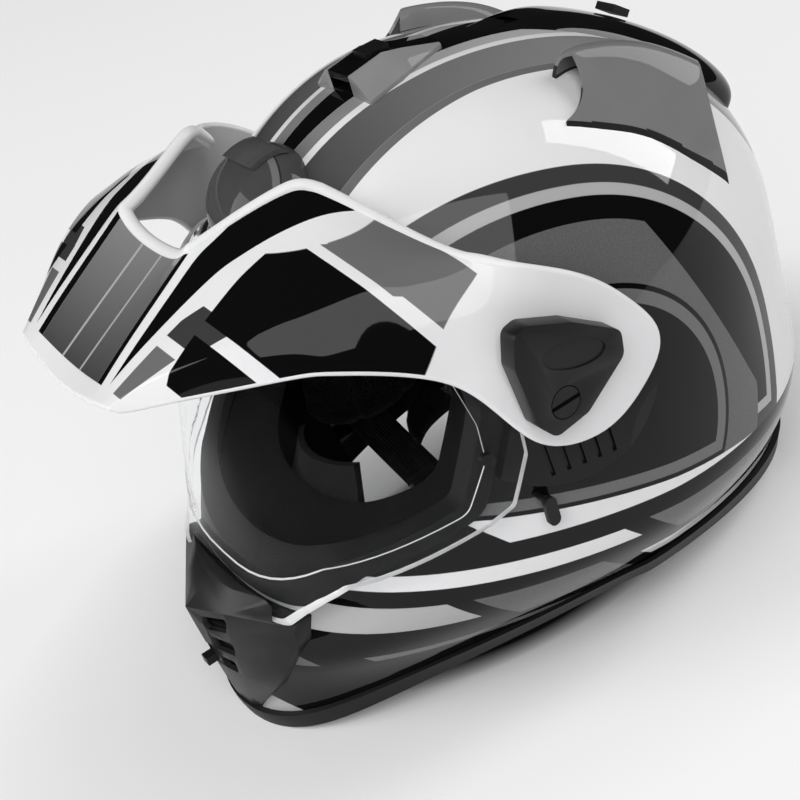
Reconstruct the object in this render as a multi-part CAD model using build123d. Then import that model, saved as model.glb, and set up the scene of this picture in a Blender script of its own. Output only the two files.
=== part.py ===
from build123d import *
import os
from functools import cache
from math import cos, pi, radians, sin, tan

# Dual sport helmet in millimetres. +Z is up, the face looks along -Y and the
# wearer's left is +X. Z = 0 is the surface that the helmet rests on, X = 0 its
# plane of symmetry, and Y = 0 lies just in front of the middle of its length.

# Outer shell: height, width and length at the surface of the shell
shell_top = 239.0
shell_half_width = 124.0
ear_y = 9.0
front_reach = 166.0
rear_reach = 145.0
front_base_z = 20.0
rear_base_z = 130.0
crown_base_z = 67.0
crown_flat = 0.4
shell_wall = 4.0

# Lower edge of the shell: it tucks in below the cheeks and arches over them
tuck_low_z = 16.0
tuck_high_z = 72.0
rim_half_width = 97.0
rim_front_y = -157.0
rim_rear_y = 126.0
rim_arch = 22.0
rim_rise_degrees = 2.0
skin_floor = -12.0

# Chin and brow: the face is set back between them
face_recess = 17.0
recess_low_z = 42.0
recess_full_z = 78.0
recess_middle_z = 85.0
recess_high_z = 200.0

# Heights where the roundness of the plan changes
plan_low_z = 70.0
plan_high_z = 80.0
plan_full_z = 160.0
nape_z = 110.0

# Eye port and its gasket
port_bottom_z = 72.5
port_top_z = 189.0
port_corner_radius = 14.0
gasket_lap = 5.0
gasket_web = 2.5
gasket_out = 2.0
gasket_in = 2.0

# Rubber trim around the lower edge
trim_height = 8.0
trim_web = 2.0
trim_out = 2.5
trim_in = 2.0

# Shield: a clear band that turns on two hidden pivots
shield_gap = 7.0
shield_wall = 2.2
pivot_y = -16.0
pivot_z = 162.0
hub_radius = 15.0
hub_inner_x = 118.0
hub_wall = 2.5
pivot_pin_radius = 5.0
pivot_fit = 0.05
pivot_head_radius = 8.0
pivot_head_wall = 1.6
lens_pin_radius = 2.6
lens_pin_height = 3.0

# Base plates on the shell, under the shield and the peak
plate_y = -30.0
plate_z = 148.0
plate_radius = 42.0
plate_wall = 6.0
plate_outer_x = 126.6
plate_top_z = 160.0
pocket_radius = 19.0
pocket_floor_x = 117.6
plate_rib_width = 1.6
plate_rib_pitch = 6.0
plate_rib_count = 5

# Peak: thickness, its arms and its screws
peak_wall = 3.0
arm_inner_x = 127.6
arm_outer_x = 132.0
arm_corner_radius = 4.5
screw_y = -41.0
screw_z = 155.0
boss_radius = 4.5
screw_shaft_radius = 2.6
screw_head_radius = 6.0
screw_slot_width = 1.8
screw_slot_depth = 1.2
cover_wall = 8.0
cover_corner_radius = 4.0
fit_gap = 0.3
turning_gap = 0.05

# Chin vent
chin_vent_wall = 2.6
chin_slot_inner_x = 5.5
chin_slot_depth = 9.0
shutter_gap = 1.0
shutter_wall = 1.5
shutter_half_width = 17.0
shutter_low_z = 27.0
shutter_high_z = 56.0
lever_width = 5.0
lever_height = 4.0
lever_z = 35.0
lever_reach = 4.5
lever_travel = 6.0

# Brow vent: a low dome on the forehead with a sliding lid
brow_y = -74.0
brow_half_width = 36.0
brow_half_length = 27.0
brow_height = 15.0
brow_sink = 4.0
brow_tilt_degrees = 48.0
lid_half_width = 12.0
lid_wall = 2.0
lid_near = 13.0
lid_far = 25.0
lid_gap = 0.4

# Top vent: a winged cover on the crown with a slider
top_vent_front_y = -25.0
top_vent_rear_y = 22.0
top_slider_half_width = 5.0
top_slider_length = 11.0
top_slider_height = 2.6
top_slider_travel = 7.0
top_groove_depth = 2.0
vent_sink = 3.0

# Rear spoiler and ducts
spoiler_height = 6.0
knob_half_width = 6.0
knob_length = 9.0
knob_height = 3.4
knob_y = 112.0
duct_wall = 2.4

# Foam and comfort liner
foam_gap = 0.3
foam_wall = 30.0
foam_port_clear = 9.0
foam_rim_clear = 13.0
roll_half_height = 17.0
crown_pad_wall = 9.0
crown_pad_low_z = 128.0
pad_gap = 0.4
cheek_pad_inner_x = 58.0
channel_radius = 2.2
neck_roll_radius_out = 9.0
breath_guard_wall = 3.0

# Chin strap
webbing_width = 20.0
webbing_wall = 2.0
webbing_bend = 9.0
anchor_y = -22.0
anchor_z = 53.0
rivet_radius = 2.5
rivet_head_radius = 6.5
rivet_head_wall = 1.5
ring_wire_radius = 1.5
ring_reach = 17.0
ring_pitch = 3.6
ring_gap = 0.3

# Shield latch beside the lower rear corner of the shield
latch_y = -47.0
latch_high_z = 106.0
latch_low_z = 93.0
latch_radius = 2.6
latch_wall = 2.4
latch_clear = 0.3

overrun = 60.0
section_points = 24


def ease(share):
    """Smooth step from 0 to 1."""
    share = min(max(share, 0), 1)
    return share * share * (3 - 2 * share)


def half_width(z, out):
    """Half width of the skin at a height, moved outwards by out."""
    up_share = min(max((z - crown_base_z) / (shell_top + out - crown_base_z), 0), 1)
    tuck_share = 1 - ease((z - tuck_low_z) / (tuck_high_z - tuck_low_z))
    dome = (shell_half_width + out) * (1 - up_share ** 2.58) ** (1 / 2.58)
    return dome - (shell_half_width - rim_half_width) * tuck_share


def front_y(z, out):
    """Y of the skin's centre line in front."""
    up_share = min(max((z - front_base_z) / (shell_top + out - front_base_z), 0), 1)
    rise_share = ease((z - recess_low_z) / (recess_full_z - recess_low_z))
    fade_share = 1 - ease((z - recess_middle_z) / (recess_high_z - recess_middle_z))
    recess = face_recess * min(rise_share, fade_share)
    return ear_y - (front_reach + out) * (1 - up_share ** 1.55) ** 0.4 + recess


def rear_y(z, out):
    """Y of the skin's centre line behind."""
    up_share = min(max((z - rear_base_z) / (shell_top + out - rear_base_z), 0), 1)
    down_share = min(max((rear_base_z - z) / rear_base_z, 0), 1)
    tuck = (rear_reach + ear_y - rim_rear_y) * down_share ** 2.5
    return ear_y + (rear_reach + out) * (1 - up_share ** 1.91) ** 0.5 - tuck


def plan_powers(z):
    """Powers that shape the plan: across and along in front, and behind."""
    low_share = ease(z / plan_low_z)
    high_share = ease((z - plan_high_z) / (plan_full_z - plan_high_z))
    across = 2.5 + 0.1 * low_share - 0.79 * high_share
    along = 1.0 + 0.6 * low_share + 0.21 * high_share
    behind = 2.15 - 0.34 * ease(z / nape_z)
    return across, along, behind


def skin_point(z, turn, out):
    """Point of the skin at a height, turn radians round from the left side."""
    across, along, behind = plan_powers(z)
    side, way = cos(turn), sin(turn)
    if way > 0:
        x_power, y_power, reach = behind, behind, rear_y(z, out) - ear_y
    else:
        x_power, y_power, reach = across, along, ear_y - front_y(z, out)
    x = half_width(z, out) * abs(side) ** (2 / x_power) * (1 if side > 0 else -1)
    y = ear_y + reach * abs(way) ** (2 / y_power) * (1 if way > 0 else -1)
    return x, y, z


def is_inside(x, y, z, out):
    """Whether a point lies inside the skin."""
    if z >= shell_top + out:
        return False
    across, along, behind = plan_powers(z)
    wide_share = abs(x) / half_width(z, out)
    if y > ear_y:
        long_share = (y - ear_y) / (rear_y(z, out) - ear_y)
        return wide_share ** behind + long_share ** behind < 1
    long_share = (ear_y - y) / (ear_y - front_y(z, out))
    return wide_share ** across + long_share ** along < 1


def height_at(x, y, out):
    """Height of the skin above a point of the plan."""
    low, high = crown_base_z, shell_top + out
    for _ in range(30):
        middle = (low + high) / 2
        if is_inside(x, y, middle, out):
            low = middle
        else:
            high = middle
    return low


def side_at(y, z, out):
    """X of the skin's left side at a place of the side view."""
    low, high = 0.0, 2 * shell_half_width
    for _ in range(30):
        middle = (low + high) / 2
        if is_inside(middle, y, z, out):
            low = middle
        else:
            high = middle
    return low


level_shares = (0, 0.06, 0.12, 0.18, 0.24, 0.31, 0.38, 0.45, 0.52, 0.59, 0.66, 0.73,
                0.79, 0.85, 0.9, 0.94, 0.97, 0.99)


turn_shares = [i / section_points for i in range(section_points + 1)]


@cache
def skin(out):
    """Closed solid inside the helmet's surface, moved outwards by out."""
    top = shell_top + out - crown_flat
    levels = [skin_floor + (top - skin_floor) * share for share in level_shares] + [top]
    faces = []
    for z in levels:
        turns = [2 * pi * i / section_points for i in range(section_points)]
        points = [skin_point(z, turn, out) for turn in turns]
        edge = Edge.make_spline(points, periodic=True, parameters=turn_shares)
        faces.append(Face(Wire([edge])))
    return loft(faces)


def across_slab(sketch, x_low, x_high):
    """Solid of a side-view sketch in (y, z) between two planes across."""
    return extrude(Plane.YZ.offset(x_low) * sketch, x_high - x_low)


def through_side(sketch):
    """Solid of a side-view sketch right through the helmet."""
    reach = shell_half_width + overrun
    return across_slab(sketch, -reach, reach)


def rounded(points, radius):
    """Closed sketch through points with rounded corners."""
    return make_face(FilletPolyline(*points, radius=radius, close=True))


def both(part):
    """A left piece and its mirror image on the right."""
    return part, mirror(part, about=Plane.YZ)


def box_between(low, high):
    """Box between two corners."""
    size = [b - a for a, b in zip(low, high)]
    middle = [(a + b) / 2 for a, b in zip(low, high)]
    return Pos(*middle) * Box(*size)


def rim_z(y):
    """Height of the lower edge of the trim."""
    share = min(max((y - rim_front_y) / (rim_rear_y - rim_front_y), 0), 1)
    rise = (y - rim_front_y) * tan(radians(rim_rise_degrees))
    return max(rise, 0) + rim_arch * sin(pi * share)


rim_curve_shares = (0, 0.125, 0.3, 0.5, 0.7, 0.875, 1)
front_far_y = rim_front_y - overrun
rear_far_y = rim_rear_y + overrun


def below_rim(lift):
    """Everything below the lower edge raised by lift."""
    span = rim_rear_y - rim_front_y
    places = [rim_front_y + span * share for share in rim_curve_shares]
    curve = [(y, rim_z(y) + lift) for y in places]
    front_z, rear_z = curve[0][1], curve[-1][1]
    edge = Spline(*curve)
    rest = Polyline(curve[-1], (rear_far_y, rear_z), (rear_far_y, skin_floor - overrun),
                    (front_far_y, skin_floor - overrun), (front_far_y, front_z), curve[0])
    return through_side(make_face([edge, rest]))


# Side view of the eye port, from the chin round the cheek to the brow
port_y = (-134.0, -112.0, -70.0, -51.5, -52.0, -66.0, -100.0)
port_z = (port_bottom_z, 88.5, 106.5, 142.0, 158.0, 182.0, port_top_z)


@cache
def port(grow):
    """The way through the eye port, grown by a margin."""
    points = [(front_far_y, port_bottom_z)] + list(zip(port_y, port_z))
    points.append((front_far_y, port_top_z))
    face = rounded(points, port_corner_radius)
    if grow:
        face = offset(face, amount=grow)
    return through_side(face)


above_floor = box_between((-2 * shell_half_width, -2 * shell_half_width, 0),
                          (2 * shell_half_width, 2 * shell_half_width, 2 * shell_top))

# Outer shell with its vent holes
shell = skin(0) - skin(-shell_wall) - below_rim(trim_web) - port(0)
chin_window_half = shutter_half_width + shutter_gap
chin_window = box_between((-chin_window_half, front_far_y, shutter_low_z - shutter_gap),
                          (chin_window_half, ear_y,
                           shutter_high_z + lever_travel + shutter_gap))
shell -= chin_window

# Rubber trim that clips over the lower edge
trim = (skin(trim_out) - skin(-shell_wall - trim_in)) & below_rim(trim_height)
trim = (trim - below_rim(0) - shell) & above_floor

# Gasket that clips over the edge of the eye port
gasket_ring = port(gasket_lap) - port(-gasket_web)
gasket = ((skin(gasket_out) - skin(-shell_wall - gasket_in)) & gasket_ring) - shell


# Base plates: ribbed, with a flat pocket for the shield's hub and a screw boss
def disc_along_x(y, z, radius, x_low, x_high):
    """Cylinder along X between two planes."""
    circle = Plane.YZ.offset(x_low) * Pos(y, z) * Circle(radius)
    return extrude(circle, x_high - x_low)


plate = disc_along_x(plate_y, plate_z, plate_radius, 0, plate_outer_x)
plate &= skin(plate_wall)
plate -= box_between((0, front_far_y, plate_top_z), (plate_outer_x, rear_far_y, shell_top))
hub_seat = disc_along_x(pivot_y, pivot_z, pocket_radius, 0, pocket_floor_x)
plate = plate - disc_along_x(pivot_y, pivot_z, pocket_radius, pocket_floor_x, plate_outer_x)
boss = disc_along_x(screw_y, screw_z, boss_radius, 0, arm_inner_x - fit_gap)
screw_bore = disc_along_x(screw_y, screw_z, screw_shaft_radius + turning_gap,
                          pocket_floor_x, arm_outer_x)
plate = plate + hub_seat + boss - screw_bore
for i in range(plate_rib_count):
    groove_y = plate_y - plate_rib_pitch * (plate_rib_count - 1) / 2 + i * plate_rib_pitch
    groove = box_between((0, groove_y, plate_z - plate_radius + plate_rib_pitch),
                         (plate_outer_x, groove_y + plate_rib_width, plate_z - plate_radius / 2))
    plate -= groove - skin(plate_wall - plate_rib_width)
left_plate, right_plate = [side - skin(0) - port(gasket_lap) for side in both(plate)]

# Shield: band over the port, and an arm and hub on each side
shield_bottom_z = 65.8
shield_top_z = 186.0
shield_y = (-139.6, -131.0, -118.0, -69.0, -58.5, -48.4, -46.5, -50.0, -70.0, -96.0)
shield_z = (shield_bottom_z, 73.0, 84.0, 101.6, 107.0, 126.0, 140.0, 172.0, 180.0, shield_top_z)
shield_corner_radius = 5.0
points = [(front_far_y, shield_bottom_z)] + list(zip(shield_y, shield_z))
points.append((front_far_y, shield_top_z))
shield_view = through_side(rounded(points, shield_corner_radius))
band = (skin(shield_gap + shield_wall) - skin(shield_gap)) & shield_view
arm_low_z = pivot_z
arm_high_z = pivot_z + hub_radius - hub_wall
arm_front_y = shield_y[7] - 2 * hub_wall
arm_bend_y = pivot_y - pocket_radius - fit_gap
arm_front_x = side_at(arm_front_y, arm_high_z, shield_gap + shield_wall / 2)
arm_plan = make_face(Polyline(
    (hub_inner_x, pivot_y), (hub_inner_x + hub_wall, pivot_y),
    (hub_inner_x + hub_wall, arm_bend_y), (arm_front_x + hub_wall, arm_front_y),
    (arm_front_x, arm_front_y), (hub_inner_x, arm_bend_y), close=True))
shield_arm = extrude(Plane.XY.offset(arm_low_z) * arm_plan, arm_high_z - arm_low_z)
hub = disc_along_x(pivot_y, pivot_z, hub_radius, hub_inner_x, hub_inner_x + hub_wall)
hub_bore = disc_along_x(pivot_y, pivot_z, pivot_pin_radius + pivot_fit,
                        hub_inner_x, hub_inner_x + hub_wall)
arm = shield_arm + hub - hub_bore
shield = band
for side_arm in both(arm):
    shield = shield + side_arm

# Shield pivots: a pin in each hub with a head outside it
pin_end_x = hub_inner_x + hub_wall + 2 * turning_gap
pivot_pin = disc_along_x(pivot_y, pivot_z, pivot_pin_radius, pocket_floor_x, pin_end_x)
pivot_pin += disc_along_x(pivot_y, pivot_z, pivot_head_radius, pin_end_x,
                          pin_end_x + pivot_head_wall)

# Lens pins near the rear corners of the shield
lens_pin_y = -61.8
lens_pin_z = 129.0
lens_pin_x = side_at(lens_pin_y, lens_pin_z, shield_gap + shield_wall)
lens_pin = disc_along_x(lens_pin_y, lens_pin_z, lens_pin_radius, 0, lens_pin_x + lens_pin_height)
lens_pin = (lens_pin - skin(shield_gap + shield_wall + turning_gap)) & skin(shield_gap + 2 * shield_wall)

# Peak: sections across it, each from the middle to the lower edge
peak_y = (-174.0, -152.0, -132.0, -112.0, -92.0, -70.0, -44.0)
peak_half_x = ((0, 14, 33, 40, 43.5, 45.5), (0, 14, 33, 46, 56, 62), (0, 14, 32, 56, 78, 83),
               (0, 13, 31.5, 60, 88, 100), (0, 14, 40, 66, 95, 110), (0, 16, 48.6, 73, 101, 119),
               (0, 20, 58, 82, 120, 131.5))
peak_half_z = ((185.5, 186, 189, 189.6, 189.2, 186), (197.5, 198.2, 202, 201, 198.6, 191),
               (208.3, 209, 213.6, 210.6, 205.2, 193), (218.4, 219, 224, 220, 210.6, 194.5),
               (228, 228.6, 230.4, 224, 211, 187), (236, 236, 235.3, 222, 211, 176),
               (236, 235, 226, 214, 209, 162))


def peak_face(y, half_x, half_z):
    """Closed section of the peak at one place along it."""
    upper = list(zip(half_x, half_z))
    lean = peak_wall / 2
    lower = [(x, z - peak_wall) for x, z in upper[:-2]]
    lower += [(upper[-2][0] - lean, upper[-2][1] - peak_wall),
              (upper[-1][0] - peak_wall, upper[-1][1])]
    right = upper + lower[:0:-1]
    left = [(-x, z) for x, z in lower[1:]] + [(-x, z) for x, z in upper[:0:-1]]
    outline = right + [lower[0]] + left
    return Face(Wire.make_polygon([(x, y, z) for x, z in outline], close=True))


peak_faces = [peak_face(*row) for row in zip(peak_y, peak_half_x, peak_half_z)]
peak = loft(peak_faces)

# The rear of the peak is cut out over the brow, and its front is a gentle arc
notch_points = ((24.3, -109.4), (45.0, -72.0), (52.0, -67.0), (72.0, -54.0), (100.0, -49.0),
                (122.0, -44.6), (150.0, -44.6), (150.0, 40.0))
notch = [(x, y) for x, y in notch_points]
notch += [(-x, y) for x, y in reversed(notch_points)]
notch_corner_radius = 4.0
peak -= extrude(rounded(notch, notch_corner_radius), 2 * shell_top)
front_corner = (48.0, -167.0)
front_tip_y = -171.0
tip_arc = ThreePointArc((-front_corner[0], front_corner[1]), (0, front_tip_y), front_corner)
tip_rest = Polyline(front_corner, (front_corner[0], front_far_y),
                    (-front_corner[0], front_far_y), (-front_corner[0], front_corner[1]))
peak -= extrude(make_face([tip_arc, tip_rest]), 2 * shell_top)

# Peak arms: flat plates over the base plates, bored for the screws
arm_y = (-62.0, -57.0, -47.0, -34.0, -19.0, 6.0, 8.0, -4.0, -16.0, -32.0, -46.0, -60.0)
arm_z = (168.0, 146.0, 136.0, 130.0, 127.5, 146.0, 153.0, 176.0, 190.0, 201.0, 207.5, 200.0)
peak_arm = across_slab(rounded(list(zip(arm_y, arm_z)), arm_corner_radius),
                       arm_inner_x, arm_outer_x)
peak_bore = disc_along_x(screw_y, screw_z, screw_shaft_radius + turning_gap,
                         arm_inner_x, arm_outer_x)
for side_arm in both(peak_arm - peak_bore):
    peak = peak + side_arm

# Pod covers: bevelled plates on the arms, open round the screw head
cover_y = (-54.0, -48.0, -31.0, -12.0, -13.0, -33.0, -48.0, -54.0, -57.0)
cover_z = (190.0, 191.0, 183.0, 169.0, 159.0, 146.0, 144.0, 152.0, 178.0)
cover_sketch = rounded(list(zip(cover_y, cover_z)), cover_corner_radius)
cover = across_slab(cover_sketch, arm_outer_x, arm_outer_x + cover_wall)
outer_face = cover.faces().sort_by(Axis.X)[-1]
cover = chamfer(outer_face.edges(), cover_wall / 4)
cover -= disc_along_x(screw_y, screw_z, screw_head_radius + fit_gap, arm_outer_x,
                      arm_outer_x + cover_wall)

# Slotted screws through the covers and arms into the bosses
screw = disc_along_x(screw_y, screw_z, screw_shaft_radius, pocket_floor_x + fit_gap,
                     arm_outer_x + fit_gap)
head_high_x = arm_outer_x + cover_wall
screw += disc_along_x(screw_y, screw_z, screw_head_radius, arm_outer_x + fit_gap, head_high_x)
screw_slot = box_between(
    (head_high_x - screw_slot_depth, screw_y - 2 * screw_head_radius, screw_z - screw_slot_width / 2),
    (head_high_x, screw_y + 2 * screw_head_radius, screw_z + screw_slot_width / 2))
screw -= screw_slot

# Chin vent: sections from the lower tip up, from the ridge to the outer corner
chin_z = (6.0, 16.0, 31.0, 44.0, 57.0, 65.0, 72.0)
chin_x = ((0, 8, 13), (0, 13, 22), (0, 20, 37), (0, 22, 46), (0, 21, 53), (0, 19, 51), (0, 17, 44))
chin_y = ((-159, -158, -156), (-160.5, -158.5, -156), (-162, -158, -152.5),
          (-163, -157.5, -146), (-164, -156.5, -140), (-164.5, -155, -139), (-150, -147, -137))
chin_back_y = -120.0


def chin_block(back):
    """The vent's outer form, moved back into the shell by back."""
    faces = []
    for z, row_x, row_y in zip(chin_z, chin_x, chin_y):
        edge = [(x, y + back) for x, y in zip(row_x, row_y)]
        edge.append((row_x[-1], chin_back_y))
        mirrored = [(-x, y) for x, y in reversed(edge[1:])]
        faces.append(Face(Wire.make_polygon([(x, y, z) for x, y in edge + mirrored], close=True)))
    return loft(faces, ruled=True)


chin_slot_z = (34.0, 45.5, 57.0)
chin_slot_outer_x = (15.0, 20.0, 16.0)
chin_slot_height = 6.0
shield_path = skin(shield_gap + shield_wall + fit_gap) & box_between(
    (-shell_half_width, front_far_y, shield_bottom_z - fit_gap),
    (shell_half_width, chin_back_y, 2 * shield_bottom_z))
chin_body = chin_block(0) - skin(0) - shield_path
chin_body -= skin(trim_out) & below_rim(trim_height)
chin_hollow = chin_block(chin_vent_wall) & box_between(
    (-chin_x[3][1], front_far_y, chin_z[1] + chin_vent_wall),
    (chin_x[3][1], chin_back_y, chin_z[5] - chin_vent_wall))
chin_body -= chin_hollow
for slot_z, outer_x in zip(chin_slot_z, chin_slot_outer_x):
    slot = box_between((chin_slot_inner_x, front_far_y, slot_z - chin_slot_height / 2),
                       (outer_x, chin_y[3][2] - chin_slot_depth / 2,
                        slot_z + chin_slot_height / 2))
    for side_slot in both(slot):
        chin_body -= side_slot
lever_slot = box_between(
    (-lever_width / 2 - fit_gap, front_far_y, lever_z - lever_height / 2 - fit_gap),
    (lever_width / 2 + fit_gap, chin_y[3][2] - chin_slot_depth,
     lever_z + lever_height / 2 + lever_travel + fit_gap))
chin_body -= lever_slot
shutter_back = chin_vent_wall + shutter_gap
shutter_box = box_between((-shutter_half_width, front_far_y, shutter_low_z),
                          (shutter_half_width, chin_back_y, shutter_high_z))
shutter = (chin_block(shutter_back) - chin_block(shutter_back + shutter_wall)) & shutter_box
lever = box_between(
    (-lever_width / 2, chin_y[2][0] - lever_reach, lever_z - lever_height / 2),
    (lever_width / 2, chin_y[2][0] + shutter_back + shutter_wall / 2,
     lever_z + lever_height / 2))
shutter += lever

# Brow vent: a dome seated on the forehead, and its lid at the upper end
brow_z = height_at(0, brow_y, 0)
brow_plane = Plane(origin=(0, brow_y, brow_z), x_dir=(1, 0, 0),
                   z_dir=(0, -cos(radians(brow_tilt_degrees)), sin(radians(brow_tilt_degrees))))


def brow_dome(grow):
    """Dome of the brow vent, grown by a margin."""
    size = (brow_half_width + grow, brow_half_length + grow, brow_height + brow_sink + grow)
    return brow_plane * Pos(0, 0, -brow_sink) * scale(Sphere(1), by=size)


brow_vent = brow_dome(0) - skin(0)
lid_box = brow_plane * box_between((-lid_half_width, lid_near, -overrun),
                                   (lid_half_width, lid_far, overrun))
brow_lid = (brow_dome(lid_gap + lid_wall) - brow_dome(lid_gap)) & lid_box
brow_lid -= skin(lid_gap)

# Top vent: wings that narrow to the rear, with a mouth in front
top_station_y = (top_vent_front_y, -4.0, top_vent_rear_y)
top_edge_x = (27.0, 22.0, 9.0)
top_flat_x = (15.0, 12.0, 6.0)
top_rise = (9.0, 10.0, 4.0)
top_faces = []
for y, edge_x, flat_x, rise in zip(top_station_y, top_edge_x, top_flat_x, top_rise):
    edge_z = height_at(edge_x, y, 0)
    flat_z = height_at(0, y, 0) + rise
    row = [(flat_x, flat_z), (edge_x, edge_z + trim_web), (edge_x, edge_z - vent_sink)]
    outline = row + [(-x, z) for x, z in reversed(row)]
    top_faces.append(Face(Wire.make_polygon([(x, y, z) for x, z in outline], close=True)))
top_vent = loft(top_faces, ruled=True) - skin(0)
slider_y = top_station_y[1]
slider_z = height_at(0, slider_y, 0) + top_rise[1] - top_groove_depth
groove_far_y = slider_y + top_slider_length / 2 + top_slider_travel + fit_gap
groove_near_y = slider_y - top_slider_length / 2 - fit_gap
groove_half = top_slider_half_width + fit_gap
top_vent -= box_between((-groove_half, groove_near_y, slider_z - fit_gap),
                        (groove_half, groove_far_y, slider_z + overrun))
mouth_z = height_at(0, top_vent_front_y, 0)
mouth_half = top_flat_x[0] - duct_wall
mouth_low_z = mouth_z + duct_wall
mouth_high_z = mouth_z + top_rise[0] - duct_wall
top_vent -= box_between((-mouth_half, top_vent_front_y, mouth_low_z),
                        (mouth_half, groove_near_y - duct_wall, mouth_high_z))
top_slider = box_between(
    (-top_slider_half_width, slider_y - top_slider_length / 2, slider_z),
    (top_slider_half_width, slider_y + top_slider_length / 2, slider_z + top_slider_height))

# Rear spoiler along the crown, with its exhaust knob
spoiler_plan = ((9.0, 62.0), (22.0, 80.0), (33.0, 104.0), (36.0, 128.0), (26.0, 162.0))
spoiler_points = list(spoiler_plan) + [(-x, y) for x, y in reversed(spoiler_plan)]
spoiler_low_z = 178.0
spoiler = extrude(Plane.XY.offset(spoiler_low_z) * rounded(spoiler_points, cover_corner_radius),
                  shell_top)
spoiler = (spoiler & skin(spoiler_height)) - skin(0)
knob_base_z = height_at(0, knob_y, spoiler_height)
knob_next_z = height_at(0, knob_y + knob_length, spoiler_height)
knob_plane = Plane(origin=(0, knob_y, knob_base_z + fit_gap), x_dir=(1, 0, 0),
                   z_dir=(0, knob_base_z - knob_next_z, knob_length))
knob = knob_plane * box_between((-knob_half_width, -knob_length / 2, 0),
                                (knob_half_width, knob_length / 2, knob_height))

# Rear ducts: rounded scoops beside the spoiler, with a mouth in front
duct_inner = ((60.0, 27.0), (50.0, 42.0), (47.0, 64.0), (50.0, 88.0), (57.0, 108.0))
duct_outer = ((82.0, 24.0), (88.0, 43.0), (92.0, 62.0), (93.0, 74.0), (89.0, 84.0))
duct_rise = (4.0, 11.0, 12.0, 13.0, 12.0)


def duct_form(shrink):
    """Scoop on the left side, made smaller all round by shrink."""
    faces = []
    for inner, outer, rise in zip(duct_inner, duct_outer, duct_rise):
        near, far = Vector(*inner), Vector(*outer)
        way = (far - near).normalized()
        near, far = near + way * shrink, far - way * shrink
        points = []
        for share, out in ((0, 0), (1 / 3, rise - shrink), (3 / 4, rise - shrink), (1, 0)):
            spot = near + (far - near) * share
            sink = 0 if out else vent_sink
            points.append((spot.X, spot.Y, height_at(spot.X, spot.Y, out) - sink))
        faces.append(Face(Wire([Spline(*points), Line(points[-1], points[0])])))
    return loft(faces)


duct_mouth_depth = 22.0
duct_mouth = duct_form(duct_wall) & box_between(
    (0, duct_outer[0][1] - overrun, 0),
    (shell_half_width, duct_outer[0][1] + duct_mouth_depth, 2 * shell_top))
duct = duct_form(0) - duct_mouth
left_duct, right_duct = [side - skin(0) for side in both(duct)]

# Energy foam: a crown part and a chin part
foam_outside = -shell_wall - foam_gap
foam_inside = -shell_wall - foam_wall
foam = skin(foam_outside) - skin(foam_inside) - port(foam_port_clear)
foam -= below_rim(foam_rim_clear)
foam_split_y = -48.0
foam_split_z = 108.0
chin_region = box_between((-2 * shell_half_width, front_far_y, skin_floor),
                          (2 * shell_half_width, foam_split_y, foam_split_z))
chin_foam = foam & chin_region
crown_foam = foam - chin_region - below_rim(2 * roll_half_height + trim_web)

# Comfort liner: a padded cap, two cheek pads and a neck roll
pad_out = foam_inside - pad_gap
crown_pad = skin(pad_out) - skin(pad_out - crown_pad_wall)
crown_pad &= box_between((-2 * shell_half_width, -2 * shell_half_width, crown_pad_low_z),
                         (2 * shell_half_width, 2 * shell_half_width, 2 * shell_top))
crown_pad -= port(foam_port_clear + pad_gap)
crown_channel_y = (-20.0, 20.0, 60.0)
for channel_y in crown_channel_y:
    ring = box_between((-shell_half_width, channel_y - channel_radius, crown_pad_low_z),
                       (shell_half_width, channel_y + channel_radius, shell_top))
    crown_pad -= ring & skin(pad_out - crown_pad_wall + channel_radius)

cheek_x = (cheek_pad_inner_x, 62.0, 70.0, 92.0)
cheek_half_y = (26.0, 36.0, 42.0, 44.0)
cheek_half_z = (20.0, 29.0, 34.0, 36.0)
cheek_y = -22.0
cheek_z = 84.0
cheek_faces = []
for x, half_y, half_z in zip(cheek_x, cheek_half_y, cheek_half_z):
    plane = Plane(origin=(x, cheek_y, cheek_z), x_dir=(0, 1, 0), z_dir=(1, 0, 0))
    cheek_faces.append(plane * Ellipse(half_y, half_z))
cheek_pad = loft(cheek_faces) & skin(pad_out)
for channel_y in (cheek_y - cheek_half_y[0] / 2, cheek_y + cheek_half_y[0] / 2):
    channel = Pos(cheek_pad_inner_x, channel_y, cheek_z) * Cylinder(channel_radius, 2 * cheek_half_z[0])
    cheek_pad -= channel

# Neck roll: a horseshoe cushion round the rear of the opening, flat where it rests
roll_turn_low = -18.0
roll_turn_high = 198.0
roll_stations = 13
roll_inset = -16.9
roll_end_share = 0.55
roll_profile_shares = ((-0.4, -1), (-0.95, -0.35), (-0.85, 0.5), (0, 1), (0.85, 0.5),
                       (0.95, -0.35), (0.4, -1))
roll_faces = []
for i in range(roll_stations):
    share = i / (roll_stations - 1)
    turn = radians(roll_turn_low + (roll_turn_high - roll_turn_low) * share)
    swell = roll_end_share + (1 - roll_end_share) * sin(pi * share) ** 0.5
    half_height = roll_half_height * swell
    low_z = rim_z(skin_point(tuck_low_z, turn, roll_inset)[1]) * sin(pi * share) ** 0.25
    low_z = low_z - rim_z(rim_rear_y) * ease(2 * sin(pi * share) - 1)
    x, y, _ = skin_point(tuck_low_z, turn, roll_inset)
    next_x, next_y, _ = skin_point(tuck_low_z, turn + radians(1), roll_inset)
    along = (next_x - x, next_y - y, 0)
    sideways = (along[1], -along[0], 0)
    plane = Plane(origin=(x, y, low_z + half_height), x_dir=sideways, z_dir=along)
    wide = neck_roll_radius_out * swell
    profile = [(wide * across, half_height * up) for across, up in roll_profile_shares]
    crown = Spline(*profile)
    roll_faces.append(plane * make_face([crown, Line(profile[-1], profile[0])]))
neck_roll = loft(roll_faces)

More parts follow.
